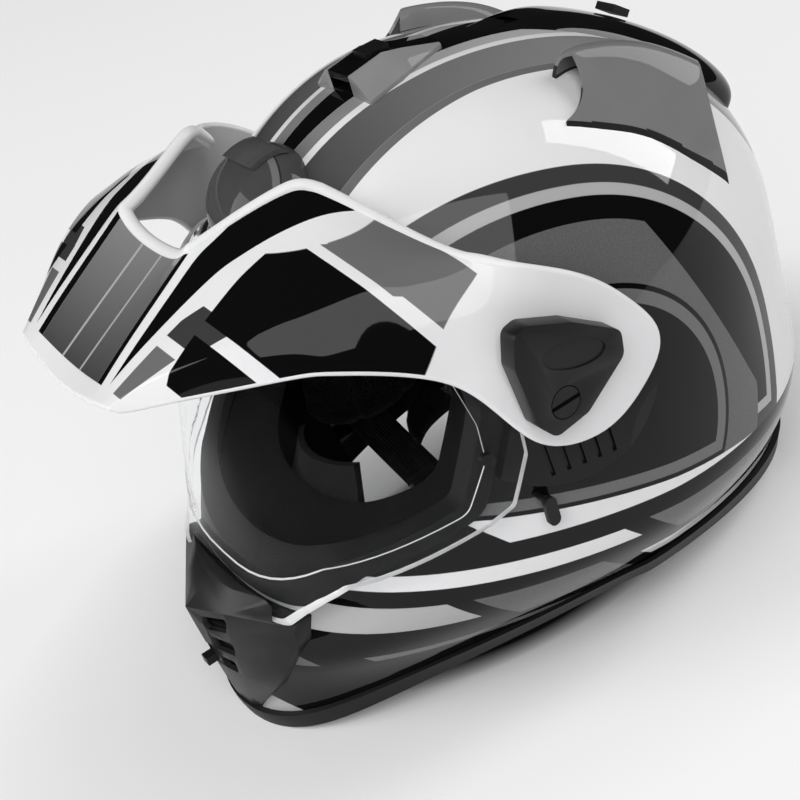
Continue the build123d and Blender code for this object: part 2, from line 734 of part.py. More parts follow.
# Breath guard inside the chin bar
guard_front_y = -101.0
guard_half_width = 34.0
guard_low_z = 66.0
guard_high_z = 98.0
guard_faces = []
for z, back, narrow_share in ((guard_low_z, 0, 1), (guard_high_z, breath_guard_wall * 4, 0.7)):
    half = guard_half_width * narrow_share
    outer = ThreePointArc((-half, guard_front_y + 3 * breath_guard_wall + back, z),
                          (0, guard_front_y + back, z),
                          (half, guard_front_y + 3 * breath_guard_wall + back, z))
    inner = ThreePointArc((half, guard_front_y + 4 * breath_guard_wall + back, z),
                          (0, guard_front_y + breath_guard_wall + back, z),
                          (-half, guard_front_y + 4 * breath_guard_wall + back, z))
    ends = [Line(outer @ 1, inner @ 0), Line(inner @ 1, outer @ 0)]
    guard_faces.append(Face(Wire([outer, ends[0], inner, ends[1]])))
breath_guard = loft(guard_faces, ruled=True)

# Chin strap: two webbing straps riveted inside the shell, and a pair of D-rings
strap_top_z = anchor_z + rivet_head_radius
strap_wall_z = anchor_z - rivet_head_radius - webbing_bend / 2
strap_inset = -shell_wall - webbing_wall / 2 - fit_gap
strap_top_x = side_at(anchor_y - webbing_width / 2, strap_top_z, strap_inset)
strap_wall_x = side_at(anchor_y - webbing_width / 2, strap_wall_z, strap_inset)
strap_x = (strap_top_x, strap_wall_x, 74.0, 44.0)
strap_z = (strap_top_z, strap_wall_z, 33.0, 24.0)
left_end = (8.0, 12.0)
strap_plane = Plane(origin=(0, anchor_y + webbing_width / 2, 0), x_dir=(1, 0, 0), z_dir=(0, -1, 0))
anchor_share = (anchor_z - strap_wall_z) / (strap_top_z - strap_wall_z)
anchor_x = strap_wall_x + (strap_top_x - strap_wall_x) * anchor_share
rivet_plane = Plane(origin=(anchor_x, anchor_y, anchor_z), x_dir=(0, 1, 0),
                    z_dir=(strap_top_z - strap_wall_z, 0, strap_wall_x - strap_top_x))


def rivet_disc(radius, low, high):
    """Disc square to the webbing at its rivet."""
    return rivet_plane * Pos(0, 0, (low + high) / 2) * Cylinder(radius, high - low)


def strap_along(points):
    """Webbing strap that follows (x, z) points at its middle."""
    path = FilletPolyline(*points, radius=webbing_bend)
    band_face = strap_plane * trace(path, line_width=webbing_wall)
    return extrude(band_face, webbing_width) - rivet_disc(rivet_radius, -webbing_wall, webbing_wall)


strap_points = list(zip(strap_x, strap_z))
strap_left = strap_along(strap_points + [left_end])
loop_bore = ring_pitch / 2 + ring_wire_radius + ring_gap
strap_end = Vector(*strap_points[-1])
strap_way = (strap_end - Vector(*strap_points[-2])).normalized()
loop_centre = strap_end + strap_way * (loop_bore + webbing_wall / 2)
loop_x, loop_z = loop_centre.X, loop_centre.Y
loop_circle = strap_plane * Pos(loop_x, loop_z) * (Circle(loop_bore + webbing_wall) - Circle(loop_bore))
loop = extrude(loop_circle, webbing_width)
strap_right = mirror(strap_along(strap_points) + loop, about=Plane.YZ)
rivet = rivet_disc(rivet_radius, -webbing_wall / 2, 4 * webbing_wall) & skin(-shell_wall)
rivet += rivet_disc(rivet_head_radius, -webbing_wall / 2 - rivet_head_wall, -webbing_wall / 2)
ring_half_y = webbing_width / 2 + ring_wire_radius + ring_gap
ring_side = Plane(origin=(-loop_x, anchor_y, 0), x_dir=(1, 0, 0), z_dir=(0, 1, 0))
ring_near_y, ring_far_y = anchor_y - ring_half_y, anchor_y + ring_half_y
ring_path = FilletPolyline((-loop_x, ring_near_y), (ring_reach - loop_x, ring_near_y),
                           (ring_reach - loop_x, ring_far_y), (-loop_x, ring_far_y),
                           radius=2 * ring_wire_radius, close=True)
ring = sweep(ring_side * Circle(ring_wire_radius), path=ring_path)
rings = [ring.moved(Location((0, 0, loop_z + lift))) for lift in (-ring_pitch / 2, ring_pitch / 2)]

# Shield latch: a small lever on the shell
latch_x = side_at(latch_y, latch_low_z, plate_wall + fit_gap)
latch_view = Pos(latch_y, (latch_low_z + latch_high_z) / 2) * SlotOverall(
    latch_high_z - latch_low_z, 2 * latch_radius, rotation=90)
latch = across_slab(latch_view, latch_x, latch_x + latch_wall)
latch_stem = disc_along_x(latch_y, latch_high_z - latch_radius, latch_radius / 2, 0, latch_x)
latch_stem = latch_stem - skin(latch_clear)

left_cover, right_cover = both(cover)
left_screw, right_screw = both(screw)
left_cheek, right_cheek = both(cheek_pad)
nodes = {
    "outer_shell": shell,
    "rim_trim": trim,
    "port_gasket": gasket,
    "base_plate_left": left_plate,
    "base_plate_right": right_plate,
    "shield": shield,
    "shield_pivot_pins": Compound(children=list(both(pivot_pin))),
    "lens_pins": Compound(children=list(both(lens_pin))),
    "peak": peak,
    "pod_cover_left": left_cover,
    "pod_cover_right": right_cover,
    "peak_screw_left": left_screw,
    "peak_screw_right": right_screw,
    "chin_vent_body": chin_body,
    "chin_vent_shutter": shutter,
    "brow_vent": brow_vent,
    "brow_vent_lid": brow_lid,
    "top_vent": top_vent,
    "top_vent_slider": top_slider,
    "rear_spoiler": spoiler,
    "exhaust_knob": knob,
    "rear_duct_left": left_duct,
    "rear_duct_right": right_duct,
    "crown_foam": crown_foam,
    "chin_foam": chin_foam,
    "crown_pad": crown_pad,
    "cheek_pad_left": left_cheek,
    "cheek_pad_right": right_cheek,
    "neck_roll": neck_roll,
    "breath_guard": breath_guard,
    "strap_left": strap_left,
    "strap_right": strap_right,
    "strap_rivets": Compound(children=list(both(rivet))),
    "d_rings": Compound(children=rings),
    "shield_latch": latch + latch_stem,
}
os.makedirs("parts", exist_ok=True)
for name, shape in nodes.items():
    export_step(shape, f"parts/{name}.step")
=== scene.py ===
import bpy
from functools import reduce
from math import atan2, cos, pi, radians, sin, tan
from mathutils import Matrix, Vector


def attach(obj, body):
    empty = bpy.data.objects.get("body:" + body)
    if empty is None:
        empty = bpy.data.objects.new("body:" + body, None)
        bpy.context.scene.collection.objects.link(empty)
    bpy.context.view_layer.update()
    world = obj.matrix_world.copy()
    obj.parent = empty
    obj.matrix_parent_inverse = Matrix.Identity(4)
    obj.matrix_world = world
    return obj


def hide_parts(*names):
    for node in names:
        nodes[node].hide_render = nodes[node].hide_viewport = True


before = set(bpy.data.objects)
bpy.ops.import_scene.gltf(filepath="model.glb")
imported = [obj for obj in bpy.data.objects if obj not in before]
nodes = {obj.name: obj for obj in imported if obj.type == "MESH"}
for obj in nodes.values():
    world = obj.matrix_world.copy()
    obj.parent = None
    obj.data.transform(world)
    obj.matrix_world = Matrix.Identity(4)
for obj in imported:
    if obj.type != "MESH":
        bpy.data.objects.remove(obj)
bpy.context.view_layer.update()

# The studio: three soft lamps and the camera of the photograph. Lengths in this file
# are millimetres times MM, because the scene is in metres.
MM = 0.001
scene = bpy.context.scene


def placed(name, data):
    """An object of some data, put in the scene."""
    item = bpy.data.objects.new(name, data)
    scene.collection.objects.link(item)
    return item


camera_azimuth = radians(66.84)
camera_elevation = radians(31.72)
camera_roll = radians(-18.67)
camera_target = Vector((-94.51, 0.0, 34.5)) * MM
camera_distance = 796.95 * MM
camera_back = Vector((sin(camera_azimuth) * cos(camera_elevation),
                      -cos(camera_azimuth) * cos(camera_elevation), sin(camera_elevation)))
level_right = Vector((cos(camera_azimuth), sin(camera_azimuth), 0))
level_up = camera_back.cross(level_right)
camera_right = level_right * cos(camera_roll) + level_up * sin(camera_roll)
camera_up = level_up * cos(camera_roll) - level_right * sin(camera_roll)
camera_data = bpy.data.cameras.new("camera")
camera_data.lens = 69.32
camera_data.sensor_width = 36.0
camera_data.clip_start = 10 * MM
camera = placed("camera", camera_data)
camera.matrix_world = Matrix.Translation(camera_target + camera_back * camera_distance) @ Matrix(
    (camera_right, camera_up, camera_back)).transposed().to_4x4()
scene.camera = camera
scene.view_settings.view_transform = "Standard"

world = bpy.data.worlds.new("studio")
scene.world = world
world.use_nodes = True
world_nodes = world.node_tree.nodes
world_links = world.node_tree.links
sky = world_nodes["Background"]
sky.inputs["Strength"].default_value = 0.32
white_sky = world_nodes.new("ShaderNodeBackground")
seen = world_nodes.new("ShaderNodeLightPath")
pick = world_nodes.new("ShaderNodeMixShader")
world_links.new(seen.outputs["Is Camera Ray"], pick.inputs["Fac"])
world_links.new(sky.outputs["Background"], pick.inputs[1])
world_links.new(white_sky.outputs["Background"], pick.inputs[2])
world_links.new(pick.outputs["Shader"], world_nodes["World Output"].inputs["Surface"])

lamp_aim = Vector((0, -10, 120)) * MM
lamps = (("key_softbox", (1800, -1300, 2300), 2700, 2200, 76.0),
         ("front_softbox", (-1100, -2600, 1500), 1500, 1800, 46.0),
         ("rear_strip", (700, 2600, 1700), 700, 2400, 40.0))
for lamp_name, place, size_x, size_y, power in lamps:
    lamp_data = bpy.data.lights.new(lamp_name, "AREA")
    lamp_data.shape = "RECTANGLE"
    lamp_data.size = size_x * MM
    lamp_data.size_y = size_y * MM
    lamp_data.energy = power
    lamp = placed(lamp_name, lamp_data)
    lamp.location = Vector(place) * MM
    lamp.rotation_euler = (lamp.location - lamp_aim).to_track_quat("Z", "Y").to_euler()


class Paint:
    """A material whose colour follows the place on the piece, in millimetres."""

    def __init__(self, name, roughness=0.4, coat=0.0, metallic=0.0, specular=0.22):
        self.material = bpy.data.materials.new(name)
        self.material.use_nodes = True
        self.tree = self.material.node_tree
        self.shader = self.tree.nodes["Principled BSDF"]
        self.look({"Roughness": roughness, "Metallic": metallic, "Coat Weight": coat,
                   "Coat Roughness": 0.03, "Coat IOR": 1.32,
                   "Specular IOR Level": 0.0 if coat else specular})
        self.place = self.tree.nodes.new("ShaderNodeTexCoord").outputs["Object"]
        split = self.tree.nodes.new("ShaderNodeSeparateXYZ")
        self.tree.links.new(self.place, split.inputs[0])
        self.x, self.y, self.z = (self.calc("DIVIDE", split.outputs[i], MM) for i in range(3))

    def look(self, inputs):
        """Sets inputs of the shader by their names."""
        for name, value in inputs.items():
            self.shader.inputs[name].default_value = value

    def feed(self, socket, value):
        """Sets a socket to a number, a colour or another socket."""
        if isinstance(value, bpy.types.NodeSocket):
            self.tree.links.new(value, socket)
        else:
            socket.default_value = value

    def calc(self, operation, *values):
        """One step of arithmetic."""
        node = self.tree.nodes.new("ShaderNodeMath")
        node.operation = operation
        for socket, value in zip(node.inputs, values):
            self.feed(socket, value)
        return node.outputs[0]

    def fold(self, operation, values):
        """One operation from value to value."""
        return reduce(lambda total, value: self.calc(operation, total, value), values)

    def add(self, *values):
        """The sum of several values."""
        return self.fold("ADD", values)

    def less(self, *values):
        """The first value minus the others."""
        return self.fold("SUBTRACT", values)

    def times(self, *values):
        """The product of values: of masks, where all of them hold."""
        return self.fold("MULTIPLY", values)

    def least(self, *values):
        """The smallest of several values."""
        return self.fold("MINIMUM", values)

    def clamped(self, value):
        """A value held between 0 and 1."""
        node = self.tree.nodes.new("ShaderNodeClamp")
        self.feed(node.inputs[0], value)
        return node.outputs[0]

    def slope(self, y_share, z_share, start):
        """Distance past a straight line of the side view."""
        length = (y_share ** 2 + z_share ** 2) ** 0.5
        total = self.add(self.times(self.y, y_share / length), self.times(self.z, z_share / length))
        return self.less(total, start / length)

    def round_off(self, y, z, radius):
        """Distance inside a circle of the side view."""
        dy, dz = self.less(self.y, y), self.less(self.z, z)
        square = self.add(self.times(dy, dy), self.times(dz, dz))
        return self.less(radius, self.calc("SQRT", square))

    def inside(self, value, low=0.0, high=None):
        """A crisp mask of where a distance lies between two limits."""
        sharpness = 4.0
        mask = self.clamped(self.times(self.less(value, low), sharpness))
        if high is None:
            return mask
        return self.times(mask, self.less(1.0, self.inside(value, high)))

    def lay(self, below, above, mask):
        """One colour over another."""
        node = self.tree.nodes.new("ShaderNodeMix")
        node.data_type = "RGBA"
        self.feed(node.inputs["Factor"], mask)
        self.feed(node.inputs["A"], below)
        self.feed(node.inputs["B"], above)
        return node.outputs["Result"]

    def over(self, colour, *masks):
        """Lays a colour over the tone so far, where all masks hold."""
        self.tone = self.lay(self.tone, colour, self.times(*masks))

    def texture(self, kind, size):
        """A procedural texture of a size in millimetres."""
        node = self.tree.nodes.new(kind)
        self.tree.links.new(self.place, node.inputs["Vector"])
        node.inputs["Scale"].default_value = 1 / (size * MM)
        return node

    def noise(self, size, detail=2.0):
        """Fine noise."""
        node = self.texture("ShaderNodeTexNoise", size)
        node.inputs["Detail"].default_value = detail
        return node.outputs["Fac"]

    def bump(self, height, depth):
        """Relief from a height field, depth in millimetres."""
        node = self.tree.nodes.new("ShaderNodeBump")
        node.inputs["Distance"].default_value = depth * MM
        self.feed(node.inputs["Height"], height)
        self.tree.links.new(node.outputs["Normal"], self.shader.inputs["Normal"])

    def finish(self, colour):
        """Gives the shader its colour and returns the material."""
        self.feed(self.shader.inputs["Base Color"], colour)
        return self.material

    def mottle(self, low, high, size):
        """Noise between two greys, a size in millimetres."""
        return self.lay(grey(low), grey(high), self.noise(size))


def grey(level):
    """An even grey."""
    return (level, level, level * 1.01, 1.0)


def mottled(name, low, high, size, grain=None, **looks):
    """A material of noise between two greys, with a grain of a size, detail and depth."""
    paint = Paint(name, **looks)
    if grain:
        paint.bump(paint.noise(*grain[:2]), grain[2])
    return paint.finish(paint.mottle(low, high, size))


sides = ((1, "left"), (-1, "right"))

# The floor: pale and matt, with a painted shadow: near black under the neck opening.
# Away from the helmet it glows a little where it is seen, so that the background comes out white.
floor_size = 6000
neck_half_x, neck_half_y, neck_middle_y = 78, 118, -14
glow_share, glow_rise, glow_start = 0.6, 0.2, -0.15
floor_mesh = bpy.data.meshes.new("floor")
corner = floor_size * MM / 2
floor_mesh.from_pydata([(-corner, -corner, 0), (corner, -corner, 0), (corner, corner, 0),
                        (-corner, corner, 0)], [], [(0, 1, 2, 3)])
floor = placed("floor", floor_mesh)
ground = Paint("floor_white", roughness=0.9)
floor_tint = ground.mottle(0.84, 0.87, 400.0)
neck_x = ground.calc("DIVIDE", ground.x, neck_half_x)
neck_y = ground.calc("DIVIDE", ground.less(ground.y, neck_middle_y), neck_half_y)
neck_square = ground.add(ground.times(neck_x, neck_x), ground.times(neck_y, neck_y))
# Painted shadow: the floor under the neck opening is painted near black.
neck_painted_shadow = ground.inside(ground.less(1.0, neck_square))
floor_mesh.materials.append(ground.finish(ground.lay(floor_tint, grey(0.01), neck_painted_shadow)))
floor_nodes, floor_links = ground.tree.nodes, ground.tree.links
floor_seen = floor_nodes.new("ShaderNodeLightPath").outputs
seen_total = ground.least(1.0, ground.add(
    floor_seen["Is Camera Ray"], floor_seen["Is Glossy Ray"], floor_seen["Is Transmission Ray"]))
near_helmet = ground.clamped(ground.calc("MULTIPLY_ADD", neck_square, glow_rise, glow_start))
floor_glow = floor_nodes.new("ShaderNodeEmission")
floor_mix = floor_nodes.new("ShaderNodeMixShader")
ground.feed(floor_mix.inputs["Fac"], ground.times(seen_total, glow_share, near_helmet))
floor_links.new(ground.shader.outputs[0], floor_mix.inputs[1])
floor_links.new(floor_glow.outputs[0], floor_mix.inputs[2])
floor_links.new(floor_mix.outputs[0], floor_nodes["Material Output"].inputs["Surface"])

# The outer shell: laminated fibre in white paint under clear coat, with grey and
# black stripes. Its surface is one formula, which the shield, the plates, the
# vents and the liner all follow at their own distance.
shell_top = 239.0
shell_half_width = 124.0
ear_y = 9.0
front_reach, rear_reach = 166.0, 145.0
front_base_z, rear_base_z, crown_base_z = 20, 130, 67
tuck_low_z, tuck_high_z = 16.0, 72.0
rim_half_width = 97.0
rim_front_y, rim_rear_y = -157.0, 126.0
rim_arch = 22.0
rim_rise = radians(2.0)
skin_floor = -12.0
face_recess = 17.0
recess_low_z, recess_full_z, recess_middle_z, recess_high_z = 42, 78, 85, 200
plan_low_z, plan_high_z, plan_full_z, nape_z = 70, 80, 160, 110
dome_power, rear_power, rear_tuck_power = 2.58, 1.91, 2.5
front_power, front_root = 1.55, 0.4
across_powers, along_powers = (2.5, 0.1, -0.79), (1.0, 0.6, 0.21)
behind_power, nape_drop = 2.15, 0.34


def unit(share):
    """A share held between 0 and 1."""
    return min(max(share, 0), 1)


def ease(share):
    """Smooth step from 0 to 1."""
    share = unit(share)
    return share * share * (3 - 2 * share)


def half_width(z, out):
    """Half width of the skin at a height."""
    up = unit((z - crown_base_z) / (shell_top + out - crown_base_z))
    tuck = 1 - ease((z - tuck_low_z) / (tuck_high_z - tuck_low_z))
    dome = (shell_half_width + out) * (1 - up ** dome_power) ** (1 / dome_power)
    return dome - (shell_half_width - rim_half_width) * tuck


def front_y(z, out):
    """Y of the skin's centre line in front."""
    up = unit((z - front_base_z) / (shell_top + out - front_base_z))
    rise = ease((z - recess_low_z) / (recess_full_z - recess_low_z))
    fade = 1 - ease((z - recess_middle_z) / (recess_high_z - recess_middle_z))
    reach = (front_reach + out) * (1 - up ** front_power) ** front_root
    return ear_y - reach + face_recess * min(rise, fade)


def rear_y(z, out):
    """Y of the skin's centre line behind."""
    up = unit((z - rear_base_z) / (shell_top + out - rear_base_z))
    down = unit((rear_base_z - z) / rear_base_z)
    tuck = (rear_reach + ear_y - rim_rear_y) * down ** rear_tuck_power
    return ear_y + (rear_reach + out) * (1 - up ** rear_power) ** 0.5 - tuck


def plan_powers(z):
    """Powers of the plan: across and along in front, and behind."""
    low = ease(z / plan_low_z)
    high = ease((z - plan_high_z) / (plan_full_z - plan_high_z))
    across, along = (start + rise * low + change * high
                     for start, rise, change in (across_powers, along_powers))
    return across, along, behind_power - nape_drop * ease(z / nape_z)


def skin_point(z, turn, out):
    """Point of the skin at a height, turn radians round from the left side."""
    across, along, behind = plan_powers(z)
    side, way = cos(turn), sin(turn)
    powers = (behind, behind) if way > 0 else (across, along)
    reach = rear_y(z, out) - ear_y if way > 0 else ear_y - front_y(z, out)
    x = half_width(z, out) * abs(side) ** (2 / powers[0]) * (1 if side > 0 else -1)
    y = ear_y + reach * abs(way) ** (2 / powers[1]) * (1 if way > 0 else -1)
    return Vector((x, y, z))


def is_inside(x, y, z, out):
    """Whether a point lies inside the skin."""
    if z >= shell_top + out:
        return False
    across, along, behind = plan_powers(z)
    wide = abs(x) / half_width(z, out)
    if y > ear_y:
        return wide ** behind + ((y - ear_y) / (rear_y(z, out) - ear_y)) ** behind < 1
    return wide ** across + ((ear_y - y) / (ear_y - front_y(z, out))) ** along < 1


def search(test, low, high):
    """The last value, from low, for which a test holds."""
    halvings = 30
    for _ in range(halvings):
        middle = (low + high) / 2
        low, high = (middle, high) if test(middle) else (low, middle)
    return low


def height_at(x, y, out):
    """Height of the skin above a point of the plan."""
    return search(lambda z: is_inside(x, y, z, out), crown_base_z, shell_top + out)


def side_at(y, z, out):
    """X of the skin's left side at a place of the side view."""
    return search(lambda x: is_inside(x, y, z, out), 0.0, 2 * shell_half_width)


def rear_at(x, z, out):
    """Y of the skin's rear side."""
    return search(lambda y: is_inside(x, y, z, out), ear_y, 2 * rear_reach)


def rim_z(y):
    """Height of the lower edge of the trim."""
    share = unit((y - rim_front_y) / (rim_rear_y - rim_front_y))
    return max((y - rim_front_y) * tan(rim_rise), 0) + rim_arch * sin(pi * share)


def make_piece(name, points, faces):
    """A mesh object from points in millimetres."""
    mesh = bpy.data.meshes.new(name)
    mesh.from_pydata([Vector(point) * MM for point in points], [], faces)
    mesh.validate()
    return placed(name, mesh)


def rings(name, rows, closed=True, side=1):
    """Closed rings of points with a face at both ends, or a sheet; side -1 turns it over."""
    count, last = len(rows[0]), len(rows) - 1
    faces = [(i * count + j, i * count + (j + 1) % count, (i + 1) * count + (j + 1) % count,
              (i + 1) * count + j) for i in range(last) for j in range(count - (not closed))]
    if closed:
        faces += [tuple(reversed(range(count))), tuple(range(last * count, (last + 1) * count))]
    return make_piece(name, [point for row in rows for point in row],
                      [face[::side] for face in faces])


skin_rows = 72
skin_columns = 128
apex_gap = 0.02


def skin(name, out):
    """The closed surface of the formula, moved outwards by out."""
    rows = []
    top = shell_top + out
    for i in range(skin_rows + 1):
        share = sin(pi / 2 * i / skin_rows)
        z = skin_floor + (top - apex_gap - skin_floor) * share
        rows.append([skin_point(z, 2 * pi * j / skin_columns, out) for j in range(skin_columns)])
    return rings(name, rows)


def made_mesh(item):
    """The mesh that an object's modifiers or its curve make."""
    graph = bpy.context.evaluated_depsgraph_get()
    return bpy.data.meshes.new_from_object(item.evaluated_get(graph))


def apply_modifiers(piece):
    """Replaces a piece's mesh by what its modifiers make of it."""
    mesh = made_mesh(piece)
    piece.modifiers.clear()
    old, piece.data = piece.data, mesh
    bpy.data.meshes.remove(old)


def carve(piece, tool, operation="DIFFERENCE"):
    """Cuts a piece by a tool or keeps what they share, and removes the tool."""
    cut = piece.modifiers.new("cut", "BOOLEAN")
    cut.operation = operation
    cut.solver = "EXACT"
    cut.object = tool
    apply_modifiers(piece)
    bpy.data.objects.remove(tool)


def smooth(piece, angle=35.0):
    """Smooth shading that keeps the edges sharper than an angle."""
    piece.data.shade_smooth()
    piece.data.set_sharp_from_angle(angle=radians(angle))


def soften(piece, width, angle=40.0, segments=2):
    """Rounds the sharp edges of a piece."""
    edge = piece.modifiers.new("edge", "BEVEL")
    edge.width = width * MM
    edge.segments = segments
    edge.limit_method = "ANGLE"
    edge.angle_limit = radians(angle)
    edge.harden_normals = True
    apply_modifiers(piece)


def rounded(points, radius, steps=6):
    """A closed outline through points with its corners rounded."""
    outline = []
    count = len(points)
    longest_share = 0.45
    for i in range(count):
        here, before, after = (Vector(points[j]) for j in (i, i - 1, (i + 1) % count))
        back, ahead = (before - here).normalized(), (after - here).normalized()
        half_turn = back.angle(ahead) / 2
        reach = min(radius / tan(half_turn), (before - here).length * longest_share,
                    (after - here).length * longest_share)
        start, end = here + back * reach, here + ahead * reach
        for j in range(steps + 1):
            share = j / steps
            outline.append(start * (1 - share) ** 2 + here * 2 * share * (1 - share)
                           + end * share ** 2)
    return outline


def circle(y, z, radius, count):
    """A round outline."""
    return [(y + radius * cos(2 * pi * i / count), z + radius * sin(2 * pi * i / count))
            for i in range(count)]


def slab(name, outline, low, high, axis=0):
    """A solid of a flat outline between two planes across an axis, X or Z."""
    def lift(point, level):
        return (level, point[0], point[1]) if axis == 0 else (point[0], point[1], level)
    return rings(name, [[lift(point, level) for point in outline] for level in (low, high)])


far = 400.0
rim_curve_steps = 40


def below_rim(lift):
    """Everything below the rim line raised by lift."""
    outline = [(far, -far / 4), (far, rim_z(rim_rear_y) + lift)]
    for i in range(rim_curve_steps + 1):
        y = rim_rear_y + (rim_front_y - rim_rear_y) * i / rim_curve_steps
        outline.append((y, rim_z(y) + lift))
    outline += [(-far, rim_z(rim_front_y) + lift), (-far, -far / 4)]
    return slab("rim_cut", outline, -far, far)


port_points = ((-far, 72.5), (-134, 72.5), (-112, 88.5), (-70, 106.5), (-51.5, 142),
               (-52, 158), (-66, 182), (-100, 189), (-far, 189))
port_corner_radius = 14.0
shell_wall = 4.0
trim_web = 2.0


def flipped(piece):
    """A piece turned inside out."""
    piece.data.flip_normals()
    return piece


def join(first, *others):
    """Joins other pieces to the first."""
    with bpy.context.temp_override(active_object=first, selected_editable_objects=[first, *others]):
        bpy.ops.object.join()


shell = skin("painted_shell", 0)
carve(shell, skin("inside", -shell_wall))
carve(shell, below_rim(trim_web))
carve(shell, slab("port_cut", rounded(port_points, port_corner_radius), -far, far))
smooth(shell)

white, pale_grey, middle_grey, dark_grey, black = (
    grey(level) for level in (0.80, 0.42, 0.15, 0.045, 0.004))
livery = Paint("shell_paint", roughness=0.32, coat=1.0)
ax = livery.calc("ABSOLUTE", livery.x)
metal_grey = livery.lay(grey(0.07), grey(0.17), livery.noise(0.5, 3.0))
livery.tone = livery.mottle(0.78, 0.82, 90.0)

# Crown bands, which spread and grow paler towards the rear
band_spread, band_fade, crown_low_z = 0.08, 0.008, 150.0
crown = livery.less(ax, livery.times(livery.y, band_spread))
on_crown = livery.inside(livery.z, crown_low_z)
along = livery.calc("MULTIPLY_ADD", livery.y, band_fade, 0.5)
pale_fade = livery.lay(grey(0.16), grey(0.50), along)
dark_fade = livery.lay(grey(0.055), grey(0.26), along)
for low_edge, high_edge, shade in ((-far, 9, black), (9, 17, pale_fade),
                                   (21, 43, dark_fade), (43, 47, middle_grey)):
    livery.over(shade, livery.inside(crown, low_edge, high_edge), on_crown)

# Side panel: rings about the pod, cut off below and by two slanted lines
ring_y, ring_z, ring_radius = -14, 112, 100
panel_low, panel_inner_x = livery.slope(0.22, 1, 84), 50
ring = livery.round_off(ring_y, ring_z, ring_radius)
panel = livery.least(ring, panel_low, livery.less(ax, panel_inner_x))
for shade, low_edge in ((dark_grey, 0), (pale_grey, 6), (black, 10)):
    livery.over(shade, livery.inside(panel, low_edge))
slant_front, slant_rear = (livery.slope(1, 0.35, start) for start in (30, 96))
slanted = livery.least(livery.less(ring, 18.0), panel_low, slant_front,
                       livery.times(slant_rear, -1.0))
livery.over(metal_grey, livery.inside(slanted))
inner = livery.least(livery.less(ring, 40.0), panel_low)
livery.over(black, livery.inside(inner))
livery.over(middle_grey, livery.inside(inner, 2.0, 7.0))

# Lower field, the black chin and the slanted bars
field_high, chin_field_end, chin_field_high_z = 78, 12, 128
level = livery.slope(0.12, 1.0, 0.0)
slant = livery.slope(1.0, 0.9, 0.0)
livery.over(black, livery.inside(level, -far, field_high))
livery.over(black, livery.inside(slant, -far, chin_field_end),
            livery.inside(livery.z, -far, chin_field_high_z))
for start, end, low_edge, high_edge, shade in (
        (-44, 34, 62, 69, white), (42, 190, 54, 70, middle_grey),
        (26, 92, 40, 48, white), (98, 150, 38, 48, pale_grey),
        (-64, -22, 44, 55, pale_grey), (-16, 18, 36, 55, metal_grey),
        (150, 190, 22, 40, dark_grey), (-96, -72, 26, 50, metal_grey),
        (-112, -100, -20, 44, pale_grey), (-60, 10, 26, 30, middle_grey)):
    livery.over(shade, livery.inside(slant, start, end), livery.inside(level, low_edge, high_edge))
shell.data.materials.append(livery.finish(livery.tone))
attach(shell, "helmet_body")
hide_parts("outer_shell")


def dress(piece, body, slot, material, *names):
    """Puts a finished piece on its body in place of CAD nodes."""
    piece.data.materials.clear()
    piece.data.materials.append(material)
    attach(piece, body)
    if names:
        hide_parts(*names)


def repaint(material, *names):
    """Gives CAD nodes a finish."""
    for name in names:
        slots = nodes[name].data.materials
        slots.clear()
        slots.append(material)


# The edge trim and the eye port's gasket: black rubber extrusions pushed over
# the shell's edges.
rubber_black = mottled("black_rubber", 0.008, 0.016, 6.0, (0.6, 4.0, 0.04), roughness=0.5)
repaint(rubber_black, "rim_trim", "port_gasket")
repaint(mottled("guard_rubber", 0.010, 0.022, 5.0, (0.9, 4.0, 0.08), roughness=0.7, specular=0.05),
        "breath_guard")

# The shield: a clear polycarbonate band with a thinner pane, so that a step shows
# round it, on two arms with hubs. Its cut edges are painted pale as a painted highlight.
shield_gap, shield_wall = 7.0, 2.2
pane_step = 0.6
shield_points = ((-far, 65.8), (-139.6, 65.8), (-131, 73), (-118, 84), (-69, 101.6),
                 (-58.5, 107), (-48.4, 126), (-46.5, 140), (-50, 172), (-70, 180),
                 (-96, 186), (-far, 186))
pane_points = ((-far, 78), (-141, 78), (-122, 92), (-74, 109), (-62, 128),
               (-60, 142), (-62, 164), (-76, 172), (-100, 178), (-far, 178))
shield_corner, pane_corner, tool_margin = 5, 10, 1
shield_edge, arm_bevel = 0.5, 0.4
arm_end_y, arm_low_z, arm_high_z = -55.0, 162.0, 174.5
hub_y, hub_z, hub_radius = -16, 162, 15
arm_inner_x, arm_outer_x, arm_bend_y = 118.0, 120.5, -35.3
shield = skin("visual_shield", shield_gap + shield_wall)
carve(shield, skin("inside", shield_gap))
carve(shield, slab("outline", rounded(shield_points, shield_corner), -far, far), "INTERSECT")
pane = skin("pane", shield_gap + shield_wall + tool_margin)
carve(pane, skin("inside", shield_gap + shield_wall - pane_step))
carve(pane, slab("outline", rounded(pane_points, pane_corner), -far, far), "INTERSECT")
carve(shield, pane)
soften(shield, shield_edge, 50)
smooth(shield, 30)
front_x = side_at(arm_end_y, 174.0, shield_gap + shield_wall / 2)
arm_plan = ((arm_inner_x, hub_y), (arm_outer_x, hub_y), (arm_outer_x, arm_bend_y),
            (front_x + 2.5, arm_end_y), (front_x, arm_end_y), (arm_inner_x, arm_bend_y))
for side in (1, -1):
    arm = slab("arm", [(side * x, y) for x, y in arm_plan], arm_low_z, arm_high_z, axis=2)
    hub = slab("hub", circle(hub_y, hub_z, hub_radius, 48), side * arm_inner_x,
               side * arm_outer_x)
    flipped(arm if side > 0 else hub)
    for part in (arm, hub):
        soften(part, arm_bevel)
        smooth(part)
    join(shield, arm, hub)
glass = Paint("clear_lens", roughness=0.0)
glass.look({"Transmission Weight": 1.0, "IOR": 1.07})
dress(shield, "shield_body", "clear_lens", glass.finish((0.98, 0.985, 0.99, 1.0)), "shield")
edge_highlight = Paint("painted_edge_highlight", roughness=0.3)
edge_highlight.look({"Transmission Weight": 0.25})
